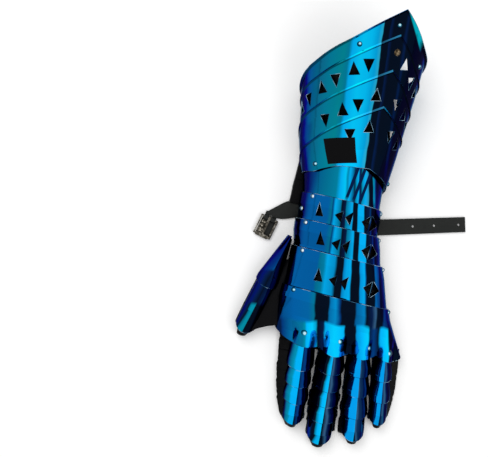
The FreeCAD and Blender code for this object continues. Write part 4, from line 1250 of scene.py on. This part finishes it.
def edgeGlint(nodeName, body):
    low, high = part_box(nodeName)
    middle = Vector(((low.x + high.x) / 2, 0, low.z))
    work = bmesh.new()
    work.from_mesh(frame["nodes"][nodeName].data)
    bmesh.ops.remove_doubles(work, verts=work.verts, dist=weldReach)
    work.normal_update()
    points, lines, known = [], [], {}
    for edge in work.edges:
        if not isRim(edge, middle):
            continue
        for v in edge.verts:
            if v.index not in known:
                known[v.index] = len(points)
                points.append(v.co.copy())
        lines.append(tuple(known[v.index] for v in edge.verts))
    work.free()
    mesh = bpy.data.meshes.new("edge_" + nodeName)
    mesh.from_pydata(points, lines, [])
    alone(linked("edge_" + nodeName, mesh))
    bpy.ops.object.convert(target="CURVE")
    obj = bpy.context.active_object
    obj.data.dimensions = "3D"
    obj.data.bevel_depth = edgeLook["radius"]
    obj.data.bevel_resolution = 0
    bpy.ops.object.convert(target="MESH")
    obj = bpy.context.active_object
    wear(obj, edgeSteel)
    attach(obj, body)


bodyOf = {name: name.replace("_lame", "") for name in fingerLames}
bodyOf.update({
    "cuff_plate": "cuff", "wrist_lame_1": "lame_1", "wrist_lame_2": "lame_2", "wrist_lame_3": "lame_3",
    "metacarpal_plate": "hand", "knuckle_plate": "knuckles", "thumb_base_lame": "thumb_base",
    "thumb_tip_lame": "thumb_tip",
})
for nodeName, body in bodyOf.items():
    edgeGlint(nodeName, body)
print("edge lines made")


# Studio: pale floor, even white world, two soft lamps and the camera of the photograph.

studioLook = {
    "floorSize": 8,
    "floorLevel": -0.0002,
    "floorGlow": 0.10,
    "dimWorld": 0.55,
    "lamps": {
        "keyLamp": {"place": (-0.5, 0.5, 1.3), "size": 0.9, "power": 9.0},
        "fillLamp": {"place": (0.7, -0.3, 1.2), "size": 0.9, "power": 5.0},
    },
    "cameraPlace": (-0.1018, 0.02895, 1.0),
    "cameraTurn": 14.0,
    "lens": 66.04,
}


def floorFinish():
    finish = Finish("paleFloor")
    grain = finish.noise(finish.place(), 30.0)
    colour = finish.mixed(grain, (0.93, 0.93, 0.93, 1), (0.96, 0.96, 0.96, 1))
    seen = finish.node("ShaderNodeLightPath", out="Is Camera Ray")
    return finish.close(Base_Color=colour, Roughness=0.9, Specular_IOR_Level=0.0,
                        Emission_Color=(1, 1, 1, 1), Emission_Strength=seen * studioLook["floorGlow"])


bpy.ops.object.select_all(action="DESELECT")
bpy.ops.mesh.primitive_plane_add(size=studioLook["floorSize"], location=(0, 0, studioLook["floorLevel"]))
floor = bpy.context.active_object
floor.name = "floor"
wear(floor, floorFinish())

# the world is full white to the camera and in the steel, and dimmer as a light
world = bpy.data.worlds.new("studioWorld")
bpy.context.scene.world = world
world.use_nodes = True
tree = world.node_tree
background = tree.nodes["Background"]
ray = tree.nodes.new("ShaderNodeLightPath")
seen = tree.nodes.new("ShaderNodeMath")
seen.operation = "MAXIMUM"
tree.links.new(ray.outputs["Is Camera Ray"], seen.inputs[0])
tree.links.new(ray.outputs["Is Glossy Ray"], seen.inputs[1])
level = tree.nodes.new("ShaderNodeMapRange")
level.inputs["To Min"].default_value = studioLook["dimWorld"]
level.inputs["To Max"].default_value = 1.0
tree.links.new(seen.outputs[0], level.inputs["Value"])
tree.links.new(level.outputs[0], background.inputs["Strength"])
background.inputs["Color"].default_value = (1, 1, 1, 1)

for lampName, look in studioLook["lamps"].items():
    lampData = bpy.data.lights.new(lampName, "AREA")
    lampData.size = look["size"]
    lampData.energy = look["power"]
    lamp = linked(lampName, lampData)
    lamp.location = look["place"]
    lamp.visible_glossy = False
    lamp.rotation_euler = (-Vector(look["place"])).to_track_quat("-Z", "Y").to_euler()

cameraData = bpy.data.cameras.new("camera")
cameraData.lens = studioLook["lens"]
camera = linked("camera", cameraData)
camera.location = Vector(studioLook["cameraPlace"]) + Vector((0, palmAlong, 0))
camera.rotation_euler = (0, 0, math.radians(studioLook["cameraTurn"]))
bpy.context.scene.camera = camera
bpy.context.scene.view_settings.view_transform = "Standard"

print("stage set")
